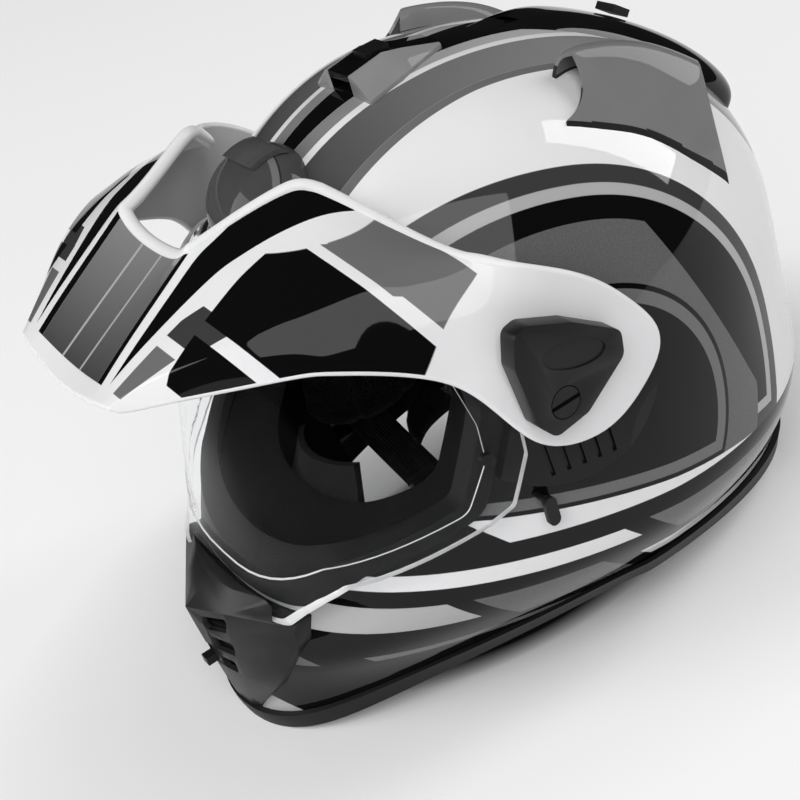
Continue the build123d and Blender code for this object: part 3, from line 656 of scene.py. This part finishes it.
shield.data.materials.append(edge_highlight.finish(edge_highlight.mottle(0.80, 0.88, 8.0)))
# The cut edge faces get the painted highlight.
middle_x, edge_tolerance, upright = 14.0, 0.004, 0.8
for face in shield.data.polygons:
    beside_middle = abs(face.center.x) > middle_x * MM
    if abs(face.normal.x) < edge_tolerance and (beside_middle or abs(face.normal.z) > upright):
        face.material_index = 1

# Base plates, pins and the small black parts: moulded nylon with a fine grain.
repaint(mottled("black_plastic", 0.006, 0.011, 9.0, (0.8, 3.0, 0.05), roughness=0.42),
        "shield_pivot_pins", "lens_pins", "chin_vent_shutter", "top_vent_slider",
        "exhaust_knob", "shield_latch")
repaint(mottled("plate_plastic", 0.006, 0.012, 12.0, roughness=0.3),
        "base_plate_left", "base_plate_right")

# The peak: one moulded skin over the brow with a deep rear notch, folded sides and
# two arms that turn down over the pods. A rolled white lip runs round its edge.
def cage(name, rows):
    """Rows of a left half, which end at the same column, mirrored in the plane X = 0."""
    points, faces, index = [], [], {}
    width = len(rows[0])
    rows = [[None] * (width - len(row)) + list(row) for row in rows]
    for side in (1, -1):
        for i, row in enumerate(rows):
            for j, point in enumerate(row):
                key = point and (side if point[0] else 1, i, j)
                if key and key not in index:
                    index[key] = len(points)
                    points.append((side * point[0], point[1], point[2]))
    for side in (1, -1):
        for i in range(len(rows) - 1):
            for j in range(width - 1):
                corners = ((i, j), (i, j + 1), (i + 1, j + 1), (i + 1, j))
                if all(rows[a][b] for a, b in corners):
                    ring = [index[(side if rows[a][b][0] else 1, a, b)] for a, b in corners]
                    faces.append(ring[::side])
    return make_piece(name, points, faces), index


def crease(piece, chains, weight):
    """Sharpens chains of neighbouring points before subdivision."""
    layer = piece.data.attributes.new("crease_edge", "FLOAT", "EDGE")
    wanted = {frozenset(pair) for chain in chains for pair in zip(chain, chain[1:])}
    for edge in piece.data.edges:
        if frozenset(edge.vertices) in wanted:
            layer.data[edge.index].value = weight


def subdivide(piece, levels):
    """Catmull-Clark subdivision."""
    round_off = piece.modifiers.new("round_off", "SUBSURF")
    round_off.levels = round_off.render_levels = levels
    apply_modifiers(piece)


def thicken(piece, wall, inner_slot=0):
    """Gives a surface its wall, whose inner faces may have their own material."""
    wall_step = piece.modifiers.new("wall", "SOLIDIFY")
    wall_step.thickness = wall * MM
    wall_step.use_quality_normals = True
    wall_step.material_offset = inner_slot
    apply_modifiers(piece)


def bead(name, points, radius_at):
    """A closed round bead along points in millimetres, whose radius varies."""
    curve = bpy.data.curves.new(name, "CURVE")
    curve.dimensions = "3D"
    curve.bevel_depth = MM
    curve.bevel_resolution = 3
    line = curve.splines.new("POLY")
    line.points.add(len(points) - 1)
    for spot, point in zip(line.points, points):
        spot.co = (*(point * MM), 1)
        spot.radius = radius_at(point)
    line.use_cyclic_u = True
    holder = placed(name + "_path", curve)
    mesh = made_mesh(holder)
    bpy.data.objects.remove(holder)
    return placed(name, mesh)


peak_rows = (
    ((0, -171, 187), (15, -170.7, 187.6), (33, -169.4, 190.3), (41, -168.4, 191.4),
     (43, -168, 191.4), (45.5, -167.6, 191.2), (47.5, -166.6, 190), (48.5, -165.5, 188.5)),
    ((0, -152, 197.5), (14, -152, 198.2), (33, -152, 202), (46, -152, 201), (51, -152, 200),
     (56, -152, 198.6), (60, -152, 195), (62, -152, 191)),
    ((0, -132, 208.3), (14, -132, 209), (32, -132, 213.6), (56, -132, 210.6), (68, -132, 208.2),
     (78, -132, 205.2), (82, -132, 199.5), (83, -132, 193)),
    ((0, -116, 216.6), (22, -115.8, 218.6), (31.5, -114, 224.4), (58, -112, 220.4),
     (75, -112, 215.2), (88, -112, 210.6), (96, -112, 203), (100, -112, 194.5)),
    ((33.5, -106, 226), (60.5, -105, 221.8), (77, -105, 216.2), (90.5, -105, 210.9),
     (99.5, -105, 201.8), (104, -105, 192)),
    ((38, -92, 230), (66, -92, 224), (82, -92, 218), (95, -92, 211), (105, -92, 200),
     (110, -92, 187)),
    ((46.5, -75, 234.6), (71, -71, 223), (87, -69, 216), (101, -69, 211.5), (113, -71, 195),
     (119, -71, 176)),
    ((51, -68, 234), (72, -54.5, 216), (95, -49.5, 210), (113, -47, 209), (125, -55, 190),
     (127.5, -62.5, 163)),
    ((125, -39, 204.5), (130.5, -43, 178), (131.5, -53, 142)),
    ((131.3, -27, 198), (132, -32, 166), (132, -42, 133)),
    ((132, -14, 188), (132, -18, 158), (132, -28, 128.5)),
    ((132, -3, 175), (132, -5, 154), (132, -13, 129.5)),
    ((132, 8, 158), (132, 8.5, 150), (132, 5, 142)),
)
peak_piece, spot = cage("visual_peak", peak_rows)
ridges = ((2, 4), (5, 7))
crease(peak_piece, [[spot[(side, i, column)] for i in range(length)]
                    for side, _ in sides for column, length in ridges], 0.75)
subdivide(peak_piece, 3)


def edge_chain(piece, drop):
    """The open edge of a surface in order, let down into its wall."""
    mesh = piece.data
    count = {}
    for face in mesh.polygons:
        for key in face.edge_keys:
            count[key] = count.get(key, 0) + 1
    near = {}
    for one, other in (key for key, uses in count.items() if uses == 1):
        near.setdefault(one, []).append(other)
        near.setdefault(other, []).append(one)
    chain = [min(near)]
    while True:
        following = [v for v in near[chain[-1]] if v not in chain[-2:]]
        if not following or following[0] == chain[0]:
            break
        chain.append(following[0])
    return [(mesh.vertices[v].co - mesh.vertices[v].normal * drop * MM) / MM for v in chain]


lip_radius, edge_radius = 2.9, 1.55
lip_low_z, lip_rise_z = 194, 10
lip_rear_y, lip_rear_run, lip_front_y, lip_front_run = -34, 24, -124, 7
peak_wall = 3.0


def lip_radius_at(point):
    """Radius of the peak's edge, larger round the notch and along the rear."""
    share = ease((point.z - lip_low_z) / lip_rise_z) * ease((lip_rear_y - point.y) / lip_rear_run)
    share *= ease((point.y - lip_front_y) / lip_front_run)
    return edge_radius + (lip_radius - edge_radius) * share


lip = bead("peak_lip", edge_chain(peak_piece, peak_wall / 2), lip_radius_at)
peak_piece.data.materials.append(None)
peak_piece.data.materials.append(None)
thicken(peak_piece, peak_wall, inner_slot=1)
smooth(peak_piece, 40)
face_slots = [face.material_index for face in peak_piece.data.polygons]
stripes = Paint("peak_paint", roughness=0.32, coat=0.9)
px = stripes.calc("ABSOLUTE", stripes.x)
stripes.tone = stripes.mottle(0.78, 0.82, 70.0)
tip_y, nose_y, brow_edge_y = -168.0, -164.5, -62.0
channel_length, wing_spread, side_spread = 56.0, 0.28, 0.62
behind = stripes.slope(1.0, 0.0, tip_y)
channel_grey = stripes.lay(grey(0.05), grey(0.24), stripes.times(behind, 1 / channel_length))
front = stripes.inside(stripes.y, nose_y)
before = stripes.less(1.0, stripes.inside(stripes.y, brow_edge_y))
wedge = stripes.less(px, stripes.times(behind, wing_spread))
for low_edge, high_edge, shade in ((-1, 29, channel_grey), (8, 9.4, pale_grey),
                                   (29, 33, black)):
    stripes.over(shade, stripes.inside(px, low_edge, high_edge), front, before)
stripes.over(black, stripes.inside(px, 38.0), stripes.inside(wedge, -far, 36.5), before, front)
run = stripes.slope(1.0, 0.45, 0.0)
fold = stripes.less(px, stripes.times(behind, side_spread))
beside_wing = stripes.inside(wedge, 42.0)
for start, end, low_edge, high_edge, shade in (
        (-70, -47, 30, 45.5, middle_grey), (-42, -26, 30, 49, dark_grey),
        (16, 44, 20, 46, middle_grey), (2, 12, 30, 48, dark_grey)):
    stripes.over(shade, stripes.inside(run, start, end),
                 stripes.inside(fold, low_edge, high_edge), beside_wing, before)
low_face = stripes.inside(stripes.slope(-0.10, -1.0, -213.0))
on_side = stripes.inside(px, 62.0, 116.0)
for start, end, shade in ((-56, -36, black), (-30, 12, black), (18, 40, middle_grey)):
    stripes.over(shade, stripes.inside(run, start, end), low_face, on_side)
dress(peak_piece, "peak_body", "peak_paint", stripes.finish(stripes.tone), "peak")
peak_piece.data.materials.append(mottled("peak_inside", 0.50, 0.56, 50.0, roughness=0.45))
peak_piece.data.polygons.foreach_set("material_index", face_slots)
smooth(lip, 60)
dress(lip, "peak_body", "peak_paint",
      mottled("lip_paint", 0.80, 0.84, 40.0, roughness=0.35, coat=0.6))

# Pod covers: bevelled dark plates on the arms, each with a shallow oval and an
# opening round the slotted screw.
pod_points = ((-54, 190), (-48, 191), (-31, 183), (-12, 169), (-13, 159),
              (-33, 146), (-48, 144), (-54, 152), (-57, 178))
pod_low_x, pod_high_x = 132.0, 140.0
oval_y, oval_z, oval_depth = -33, 171, 0.7
hole_y, hole_z, hole_radius, tool_reach = -41, 155, 6.4, 2
pod_black = mottled("pod_plastic", 0.006, 0.011, 14.0, (0.7, 3.0, 0.03), roughness=0.36)
oval_outline = [(oval_y + 13 * y - 2 * z, oval_z + 6.5 * z - 3 * y) for y, z in circle(0, 0, 1, 64)]
for side, tag in sides:
    cover = slab("visual_pod_cover_" + tag, rounded(pod_points, 5.0), side * pod_low_x,
                 side * pod_high_x)
    oval = slab("oval", oval_outline, side * (pod_high_x - oval_depth),
                side * (pod_high_x + tool_reach))
    hole = slab("hole", circle(hole_y, hole_z, hole_radius, 64), side * (pod_low_x - 1),
                side * (pod_high_x + tool_reach))
    if side < 0:
        for part in (cover, oval, hole):
            flipped(part)
    carve(cover, oval)
    carve(cover, hole)
    soften(cover, 1.6, 60, 4)
    smooth(cover, 30)
    dress(cover, "peak_body", "black_plastic", pod_black, "pod_cover_" + tag)
repaint(mottled("screw_plastic", 0.005, 0.010, 3.0, roughness=0.3),
        "peak_screw_left", "peak_screw_right")

# Chin vent: a ridged wedge with three slots a side, hollow behind them for the shutter.
chin_z = (6, 16, 31, 44, 57, 65, 72)
chin_x = ((0, 8, 13), (0, 13, 22), (0, 20, 37), (0, 22, 46), (0, 21, 53), (0, 19, 51), (0, 17, 44))
chin_y = ((-159, -158, -156), (-160.5, -158.5, -156), (-162, -158, -152.5),
          (-163, -157.5, -146), (-164, -156.5, -140), (-164.5, -155, -139), (-150, -147, -137))
chin_back_y = -120.0
chin_wall = 2.6
slot_rows = ((30.5, 37.5, 16, 1), (42, 49, 20, 1.5), (53.5, 60.5, 19, 2))
slot_inner_x, slot_corner, slot_end_y = 5.5, 2.0, -150.0


def chin_block(name, back):
    """Outer form of the chin vent, moved back into the shell."""
    rows = []
    for z, row_x, row_y in zip(chin_z, chin_x, chin_y):
        edge = [(x, y + back, z) for x, y in zip(row_x, row_y)]
        edge.append((row_x[-1], chin_back_y, z))
        rows.append(edge + [(-x, y, z) for x, y, z in reversed(edge[1:])])
    return flipped(rings(name, rows))


def block(name, low, high):
    """A cutting block between two corners."""
    (x0, y0, z0), (x1, y1, z1) = low, high
    return slab(name, [(y0, z0), (y1, z0), (y1, z1), (y0, z1)], x0, x1)


chin = chin_block("visual_chin_vent", 0)
shield_room = skin("room", shield_gap + shield_wall + 0.3)
carve(shield_room, block("room_box", (-far, -far, 65.5), (far, chin_back_y, 2 * far)), "INTERSECT")
carve(chin, shield_room)
trim_room = skin("trim_room", 2.5)
carve(trim_room, below_rim(8.0), "INTERSECT")
carve(chin, trim_room)
carve(chin, skin("inside", 0))
hollow = chin_block("hollow", chin_wall)
carve(hollow, block("hollow_box", (-22, -far, 18.6), (22, chin_back_y, 62.4)), "INTERSECT")
carve(chin, hollow)
for low_z, high_z, outer_x, lean in slot_rows:
    for side in (1, -1):
        outline = rounded([(side * slot_inner_x, low_z), (side * outer_x, low_z + lean),
                           (side * (outer_x + 1), high_z + lean), (side * slot_inner_x, high_z)],
                          slot_corner, 4)
        tool = rings("slot", [[(x, y, z) for x, z in outline] for y in (-far, slot_end_y)])
        carve(chin, flipped(tool) if side > 0 else tool)
carve(chin, block("lever_slot", (-2.8, -far, 32.7), (2.8, -155.0, 43.3)))
soften(chin, 0.8, 25, 3)
smooth(chin, 30)
dress(chin, "helmet_body", "black_plastic",
      mottled("vent_plastic", 0.014, 0.026, 16.0, (0.7, 3.0, 0.04), roughness=0.38),
      "chin_vent_body")

# Brow vent: a smoke dome with a paler band round it and a sliding lid at the top.
brow_y = -74.0
brow_tilt = radians(48.0)
brow_origin = Vector((0, brow_y, height_at(0, brow_y, 0)))
brow_turn = Matrix(((1, 0, 0), (0, sin(brow_tilt), -cos(brow_tilt)),
                    (0, cos(brow_tilt), sin(brow_tilt))))
dome_half_x, dome_half_y, dome_shift, dome_rise, dome_sink = 30, 24, 3, 19, 4
dome_columns, dome_steps, pole_gap = 64, 24, 0.02
dome_rows = []
for i in range(dome_steps + 1):
    angle = -pi / 2 + pi * (i + pole_gap) / (dome_steps + 2 * pole_gap)
    row = []
    for j in range(dome_columns):
        turn = 2 * pi * j / dome_columns
        local = Vector((dome_half_x * cos(angle) * cos(turn),
                        dome_half_y * cos(angle) * sin(turn) + dome_shift,
                        dome_rise * sin(angle) - dome_sink))
        row.append(brow_origin + brow_turn @ local)
    dome_rows.append(row)
dome = rings("visual_brow_vent", dome_rows)
carve(dome, skin("inside", 0))
soften(dome, 0.5, 50)
smooth(dome, 40)
slide_y, slide_z = 0.743, 0.669
smoke = Paint("smoke_plastic", roughness=0.12, coat=0.6)
band_rise = smoke.slope(-slide_y, slide_z, 0.0)
height = smoke.less(band_rise, brow_origin.z * slide_z - brow_y * slide_y)
smoke.tone = smoke.mottle(0.045, 0.075, 20.0)
smoke.over(grey(0.16), smoke.inside(height, 4.2, 6.4))
smoke.over(grey(0.03), smoke.inside(height, 3.6, 4.2))
dress(dome, "helmet_body", "smoke_plastic", smoke.finish(smoke.tone), "brow_vent")
repaint(mottled("lid_plastic", 0.05, 0.09, 8.0, roughness=0.25), "brow_vent_lid")

# Top vent: grey wings that narrow to the rear, a black channel between them, a mouth
# in front and a groove for the slider.
top_rows = []
top_sections = ((-21, 21, 10, 8.5), (-4, 19, 9, 9.4), (22, 9, 6, 3.5))
skirt_up, skirt_down = 2.0, 3.0
for y, edge_x, flat_x, rise in top_sections:
    edge_z, flat_z = height_at(edge_x, y, 0), height_at(0, y, 0) + rise
    row = [(flat_x, y, flat_z), (edge_x, y, edge_z + skirt_up), (edge_x, y, edge_z - skirt_down)]
    top_rows.append(row + [(-x, y, z) for x, y, z in reversed(row)])
top_vent = flipped(rings("visual_top_vent", top_rows))
carve(top_vent, skin("inside", 0))
mouth_z = height_at(0, -25.0, 0)
carve(top_vent, block("mouth", (-7.6, -26.0, mouth_z + 1.6), (7.6, -11.0, mouth_z + 6.4)))
slider_z = height_at(0, -4.0, 0) + 8.0
carve(top_vent, block("groove", (-5.3, -9.8, slider_z - 0.3), (5.3, 8.8, slider_z + far)))
soften(top_vent, 1.5, 25, 3)
smooth(top_vent, 30)
grey_plastic = mottled("grey_plastic", 0.17, 0.22, 30.0, roughness=0.3, coat=0.5)
channel_half_x = 7.8
channel = Paint("vent_channel", roughness=0.3, coat=0.5)
channel.tone = channel.mottle(0.20, 0.30, 30.0)
channel.over(black, channel.inside(channel.calc("ABSOLUTE", channel.x), -1.0, channel_half_x))
dress(top_vent, "helmet_body", "grey_plastic", channel.finish(channel.tone), "top_vent")

# Rear spoiler: a gloss black cover down the rear, with a low inlet at its top.
spoiler_rows = ((236, 6, -1), (235, 8, 3.5), (229, 20, 6), (216, 30, 6.5),
                (200, 37, 8), (184, 41, 10), (168, 41, 10), (164, 39, 1),
                (163, 38, -1))
spoiler_across = ((-1, 0), (-0.93, 0.75), (-0.6, 1), (0, 0.9), (0.6, 1), (0.93, 0.75),
                  (1, 0))
edge_sink, cover_wall = 1.5, 1.6
spoiler = rings("visual_spoiler", [
    [(half * across, rear_at(half * across, z, rise * lift - (0 if lift else edge_sink)), z)
     for across, lift in spoiler_across] for z, half, rise in spoiler_rows], closed=False)
subdivide(spoiler, 3)
thicken(spoiler, cover_wall)
inlet_z = height_at(0, 64.0, 0)
carve(spoiler, block("inlet", (-8, 50, inlet_z + 1.5), (8, 74, inlet_z + 4.2)))
smooth(spoiler, 40)
dress(spoiler, "helmet_body", "gloss_black",
      mottled("gloss_black", 0.004, 0.009, 30.0, roughness=0.12, coat=1.0), "rear_spoiler")

# Rear ducts: flared scoops beside the spoiler, open in front, with a soft fold.
duct_inner = ((55, 39), (50, 52), (48, 70), (48, 90), (53, 110))
duct_outer = ((76.5, 26.5), (81, 42), (83, 58), (88, 72), (87.5, 88))
duct_rise = (8, 12, 13.5, 14.5, 14)
duct_across = ((0, -1), (0.04, 2), (0.15, 0.90), (0.38, 1), (0.58, 0.74), (0.74, 0.38),
               (0.88, 0.24), (0.985, 1.6), (1, -1))
duct_stations = (0, 0.35, 1, 2, 3, 3.8, 4)
mouth_depth, ridge_column, duct_sink = 0.95, 3, -1.0
rubber_rise, mouth_shade_rise, mouth_shade_facing = 1.3, 5.0, -0.4


def between(rows, place):
    """Value of a row of stations at a place along them."""
    index = min(int(place), len(rows) - 2)
    share = place - index
    first, second = rows[index], rows[index + 1]
    if isinstance(first, tuple):
        return tuple(a + (b - a) * share for a, b in zip(first, second))
    return first + (second - first) * share


def duct_point(place, across, lift):
    """Point of the scoop; a lift over 1 or under 0 is in millimetres."""
    near, outer = between(duct_inner, place), between(duct_outer, place)
    x = near[0] + (outer[0] - near[0]) * across
    y = near[1] + (outer[1] - near[1]) * across
    out = between(duct_rise, place) * lift if 0 < lift <= 1 else lift
    return (x, y, height_at(x, y, out))


duct_rows = []
for start in duct_stations:
    set_back = max(mouth_depth - start * mouth_depth, 0.0)
    duct_rows.append([duct_point(start + set_back * sin(pi * across), across, lift)
                      for across, lift in duct_across])
duct_rows.append([duct_point(duct_stations[-1], across, duct_sink) for across, _ in duct_across])
count, last = len(duct_across), len(duct_stations) - 1
duct_creases = ([last * count + j for j in range(count)],
                [i * count + ridge_column for i in range(last + 1)])
for side, tag in sides:
    duct = rings("visual_rear_duct_" + tag,
                 [[(side * x, y, z) for x, y, z in row] for row in duct_rows], False, side)
    crease(duct, duct_creases, 0.55)
    subdivide(duct, 3)
    thicken(duct, cover_wall)
    smooth(duct, 40)
    dress(duct, "helmet_body", "grey_plastic", grey_plastic, "rear_duct_" + tag)
    # The band along the base is the rubber seal. The faces inside the mouth are painted black as
    # painted shade.
    duct.data.materials.append(rubber_black)
    for face in duct.data.polygons:
        x, y, z = face.center / MM
        mouth_painted_shade = face.normal.y < mouth_shade_facing and is_inside(abs(x), y, z, mouth_shade_rise)
        if mouth_painted_shade or is_inside(abs(x), y, z, rubber_rise):
            face.material_index = 1

# Foam: dark coated foam with the fine cells of moulded beads.
foam = Paint("dark_foam", roughness=0.85, specular=0.04)
foam.bump(foam.texture("ShaderNodeTexVoronoi", 3.5).outputs["Distance"], 0.25)
repaint(foam.finish(foam.mottle(0.007, 0.012, 12.0)), "crown_foam", "chin_foam")


# The comfort liner: knitted mesh over foam, blown up as cloth, with sewn channels.
# Each cover takes the place of one pad.
def knit(name, level, size):
    """Knitted fabric: small cells, soft clouds of wear and a faint sheen."""
    cloth = Paint(name, roughness=0.9, specular=0.04)
    cells = cloth.texture("ShaderNodeTexVoronoi", size).outputs["Distance"]
    cloth.look({"Sheen Weight": 0.06, "Sheen Roughness": 0.5})
    cloth.bump(cells, 0.5)
    pores = cloth.inside(cells, 0.32)
    tone = cloth.mottle(level, level * 1.7, 14.0)
    return cloth.finish(cloth.lay(grey(level * 0.5), tone, pores))


mesh_knit = knit("mesh_knit", 0.010, 1.6)
smooth_knit = knit("smooth_knit", 0.008, 0.9)
simulation_frames = 18
air_pressure = 4.0


def upholster(name, node, material, voxel, shrink, cap, seam):
    """A padded cover blown up over its foam: remeshed, inflated as cloth, then sewn."""
    piece = placed(name, nodes[node].data.copy())
    step = piece.modifiers.new("even", "REMESH")
    step.mode = "VOXEL"
    step.voxel_size = voxel * MM
    apply_modifiers(piece)
    vertices = piece.data.vertices
    inset = [v.co - v.normal * shrink * MM for v in vertices]
    for vertex, place in zip(vertices, inset):
        vertex.co = place
    swell = piece.modifiers.new("cloth", "CLOTH")
    air = swell.settings
    air.quality = 4
    air.use_pressure = True
    air.uniform_pressure_force = air_pressure
    air.effector_weights.gravity = 0.0
    swell.point_cache.frame_start = 1
    swell.point_cache.frame_end = simulation_frames
    for frame_number in range(1, simulation_frames + 1):
        scene.frame_set(frame_number)
    graph = bpy.context.evaluated_depsgraph_get()
    moved = [v.co.copy() for v in piece.evaluated_get(graph).data.vertices]
    piece.modifiers.clear()
    scene.frame_set(1)
    for vertex, goal in zip(piece.data.vertices, moved):
        way = goal - vertex.co
        if way.length > cap * MM:
            way = way.normalized() * cap * MM
        vertex.co = vertex.co + way
    even = piece.modifiers.new("even_out", "SMOOTH")
    even.factor = 0.5
    even.iterations = 3
    subdivide(piece, 1)
    ways = [v.normal.copy() for v in piece.data.vertices]
    for vertex, way in zip(piece.data.vertices, ways):
        vertex.co = vertex.co - way * seam(vertex.co / MM) * MM
    smooth(piece, 180)
    dress(piece, "helmet_body", "liner_fabric", material, node)


def groove(distance, width, depth):
    """Depth of a sewn line at a distance from it."""
    return depth * 2.718 ** (-(distance / width) ** 2)


def cheek_seam(point):
    """Two channels down the pad and a seam round its face."""
    middle_y, half_gap, face_x, channel_end_x = -22, 13, 76, 74
    side = abs(point.x)
    lines = [groove(point.y - middle_y - offset, 2.2, 1.6) if side < channel_end_x else 0
             for offset in (-half_gap, half_gap)]
    lines.append(groove(side - face_x, 1.6, 1.2))
    return max(lines)


def crown_seam(point):
    """Channels across the cap and one along each side of its middle."""
    long_x, long_low_z = 24, 165
    lines = [groove(point.y - middle, 2.6, 1.8) for middle in (-20, 20, 60)]
    lines.append(groove(abs(point.x) - long_x, 2.2, 1.4) if point.z > long_low_z else 0)
    return max(lines)


def roll_seam(point):
    """Piping along the upper edge of the neck roll."""
    piping_rise = 24
    return groove(point.z - rim_z(point.y) - piping_rise, 1.8, 1.4)


for tag in ("left", "right"):
    upholster("cheek_pad_cover_" + tag, "cheek_pad_" + tag, mesh_knit, 3.4, 1.0, 4.0,
              cheek_seam)
upholster("crown_pad_cover", "crown_pad", mesh_knit, 3.6, 0.6, 1.5, crown_seam)
upholster("neck_roll_cover", "neck_roll", smooth_knit, 3.4, 1.0, 3.0, roll_seam)

# Chin strap: woven webbing on two rivets, with a sewn loop that holds the D-rings.
strap_y, strap_rear_y, strap_width, strap_thickness = -22, -32, 20, 2
strap_inset, strap_bend = -5.3, 9.0
anchor_top_z, anchor_low_z = 59.5, 42.0
loop_radius, loop_points = 4.6, 40
webbing = Paint("webbing", roughness=0.8)
ribs = webbing.texture("ShaderNodeTexWave", 5.0)
ribs.bands_direction = "Y"
webbing.bump(ribs.outputs["Fac"], 0.35)
webbing_black = webbing.finish(webbing.mottle(0.012, 0.028, 1.2))
band_section = ((-1, -0.35), (-1, 0.35), (-0.95, 0.5), (0, 0.5), (0.95, 0.5), (1, 0.35),
                (1, -0.35), (0.95, -0.5), (0, -0.5), (-0.95, -0.5))


def ribbon(name, path):
    """Webbing along a path of (x, z) places."""
    rows = []
    for i, place in enumerate(path):
        before, after = Vector(path[max(i - 1, 0)]), Vector(path[min(i + 1, len(path) - 1)])
        way = (after - before).normalized()
        across = Vector((-way.y, way.x))
        row = []
        for y_share, lift_share in band_section:
            spot = Vector(place) + across * strap_thickness * lift_share
            row.append((spot.x, strap_y + strap_width / 2 * y_share, spot.y))
        rows.append(row)
    return rings(name, rows)


def bend(points, radius):
    """An open path with its corners rounded."""
    loop = rounded(points, radius, 5)
    return [Vector(points[0])] + loop[6:-6] + [Vector(points[-1])]


strap_path = [(side_at(strap_rear_y, z, strap_inset), z) for z in (anchor_top_z, anchor_low_z)]
strap_path += [(74, 33), (44, 24)]
for side, tag in sides:
    path = bend(strap_path + [(8.0, 12.0)] if side > 0 else strap_path, strap_bend)
    if side < 0:
        way = Vector((-30.0, -9.0)).normalized()
        centre = Vector(strap_path[-1]) + way * loop_radius
        start = atan2(-way.y, -way.x)
        turns = [start + 2 * pi * i / loop_points for i in range(3, loop_points - 1)]
        path += [centre + Vector((cos(turn), sin(turn))) * loop_radius for turn in turns]
    strap = ribbon("visual_strap_" + tag, [(side * p[0], p[1]) for p in path])
    smooth(strap, 60)
    dress(strap, "helmet_body", "webbing", webbing_black, "strap_" + tag)

# Steel rings and rivets.
repaint(mottled("steel", 0.50, 0.62, 2, (0.4, 4, 0.01), roughness=0.28, metallic=1),
        "d_rings", "strap_rivets")
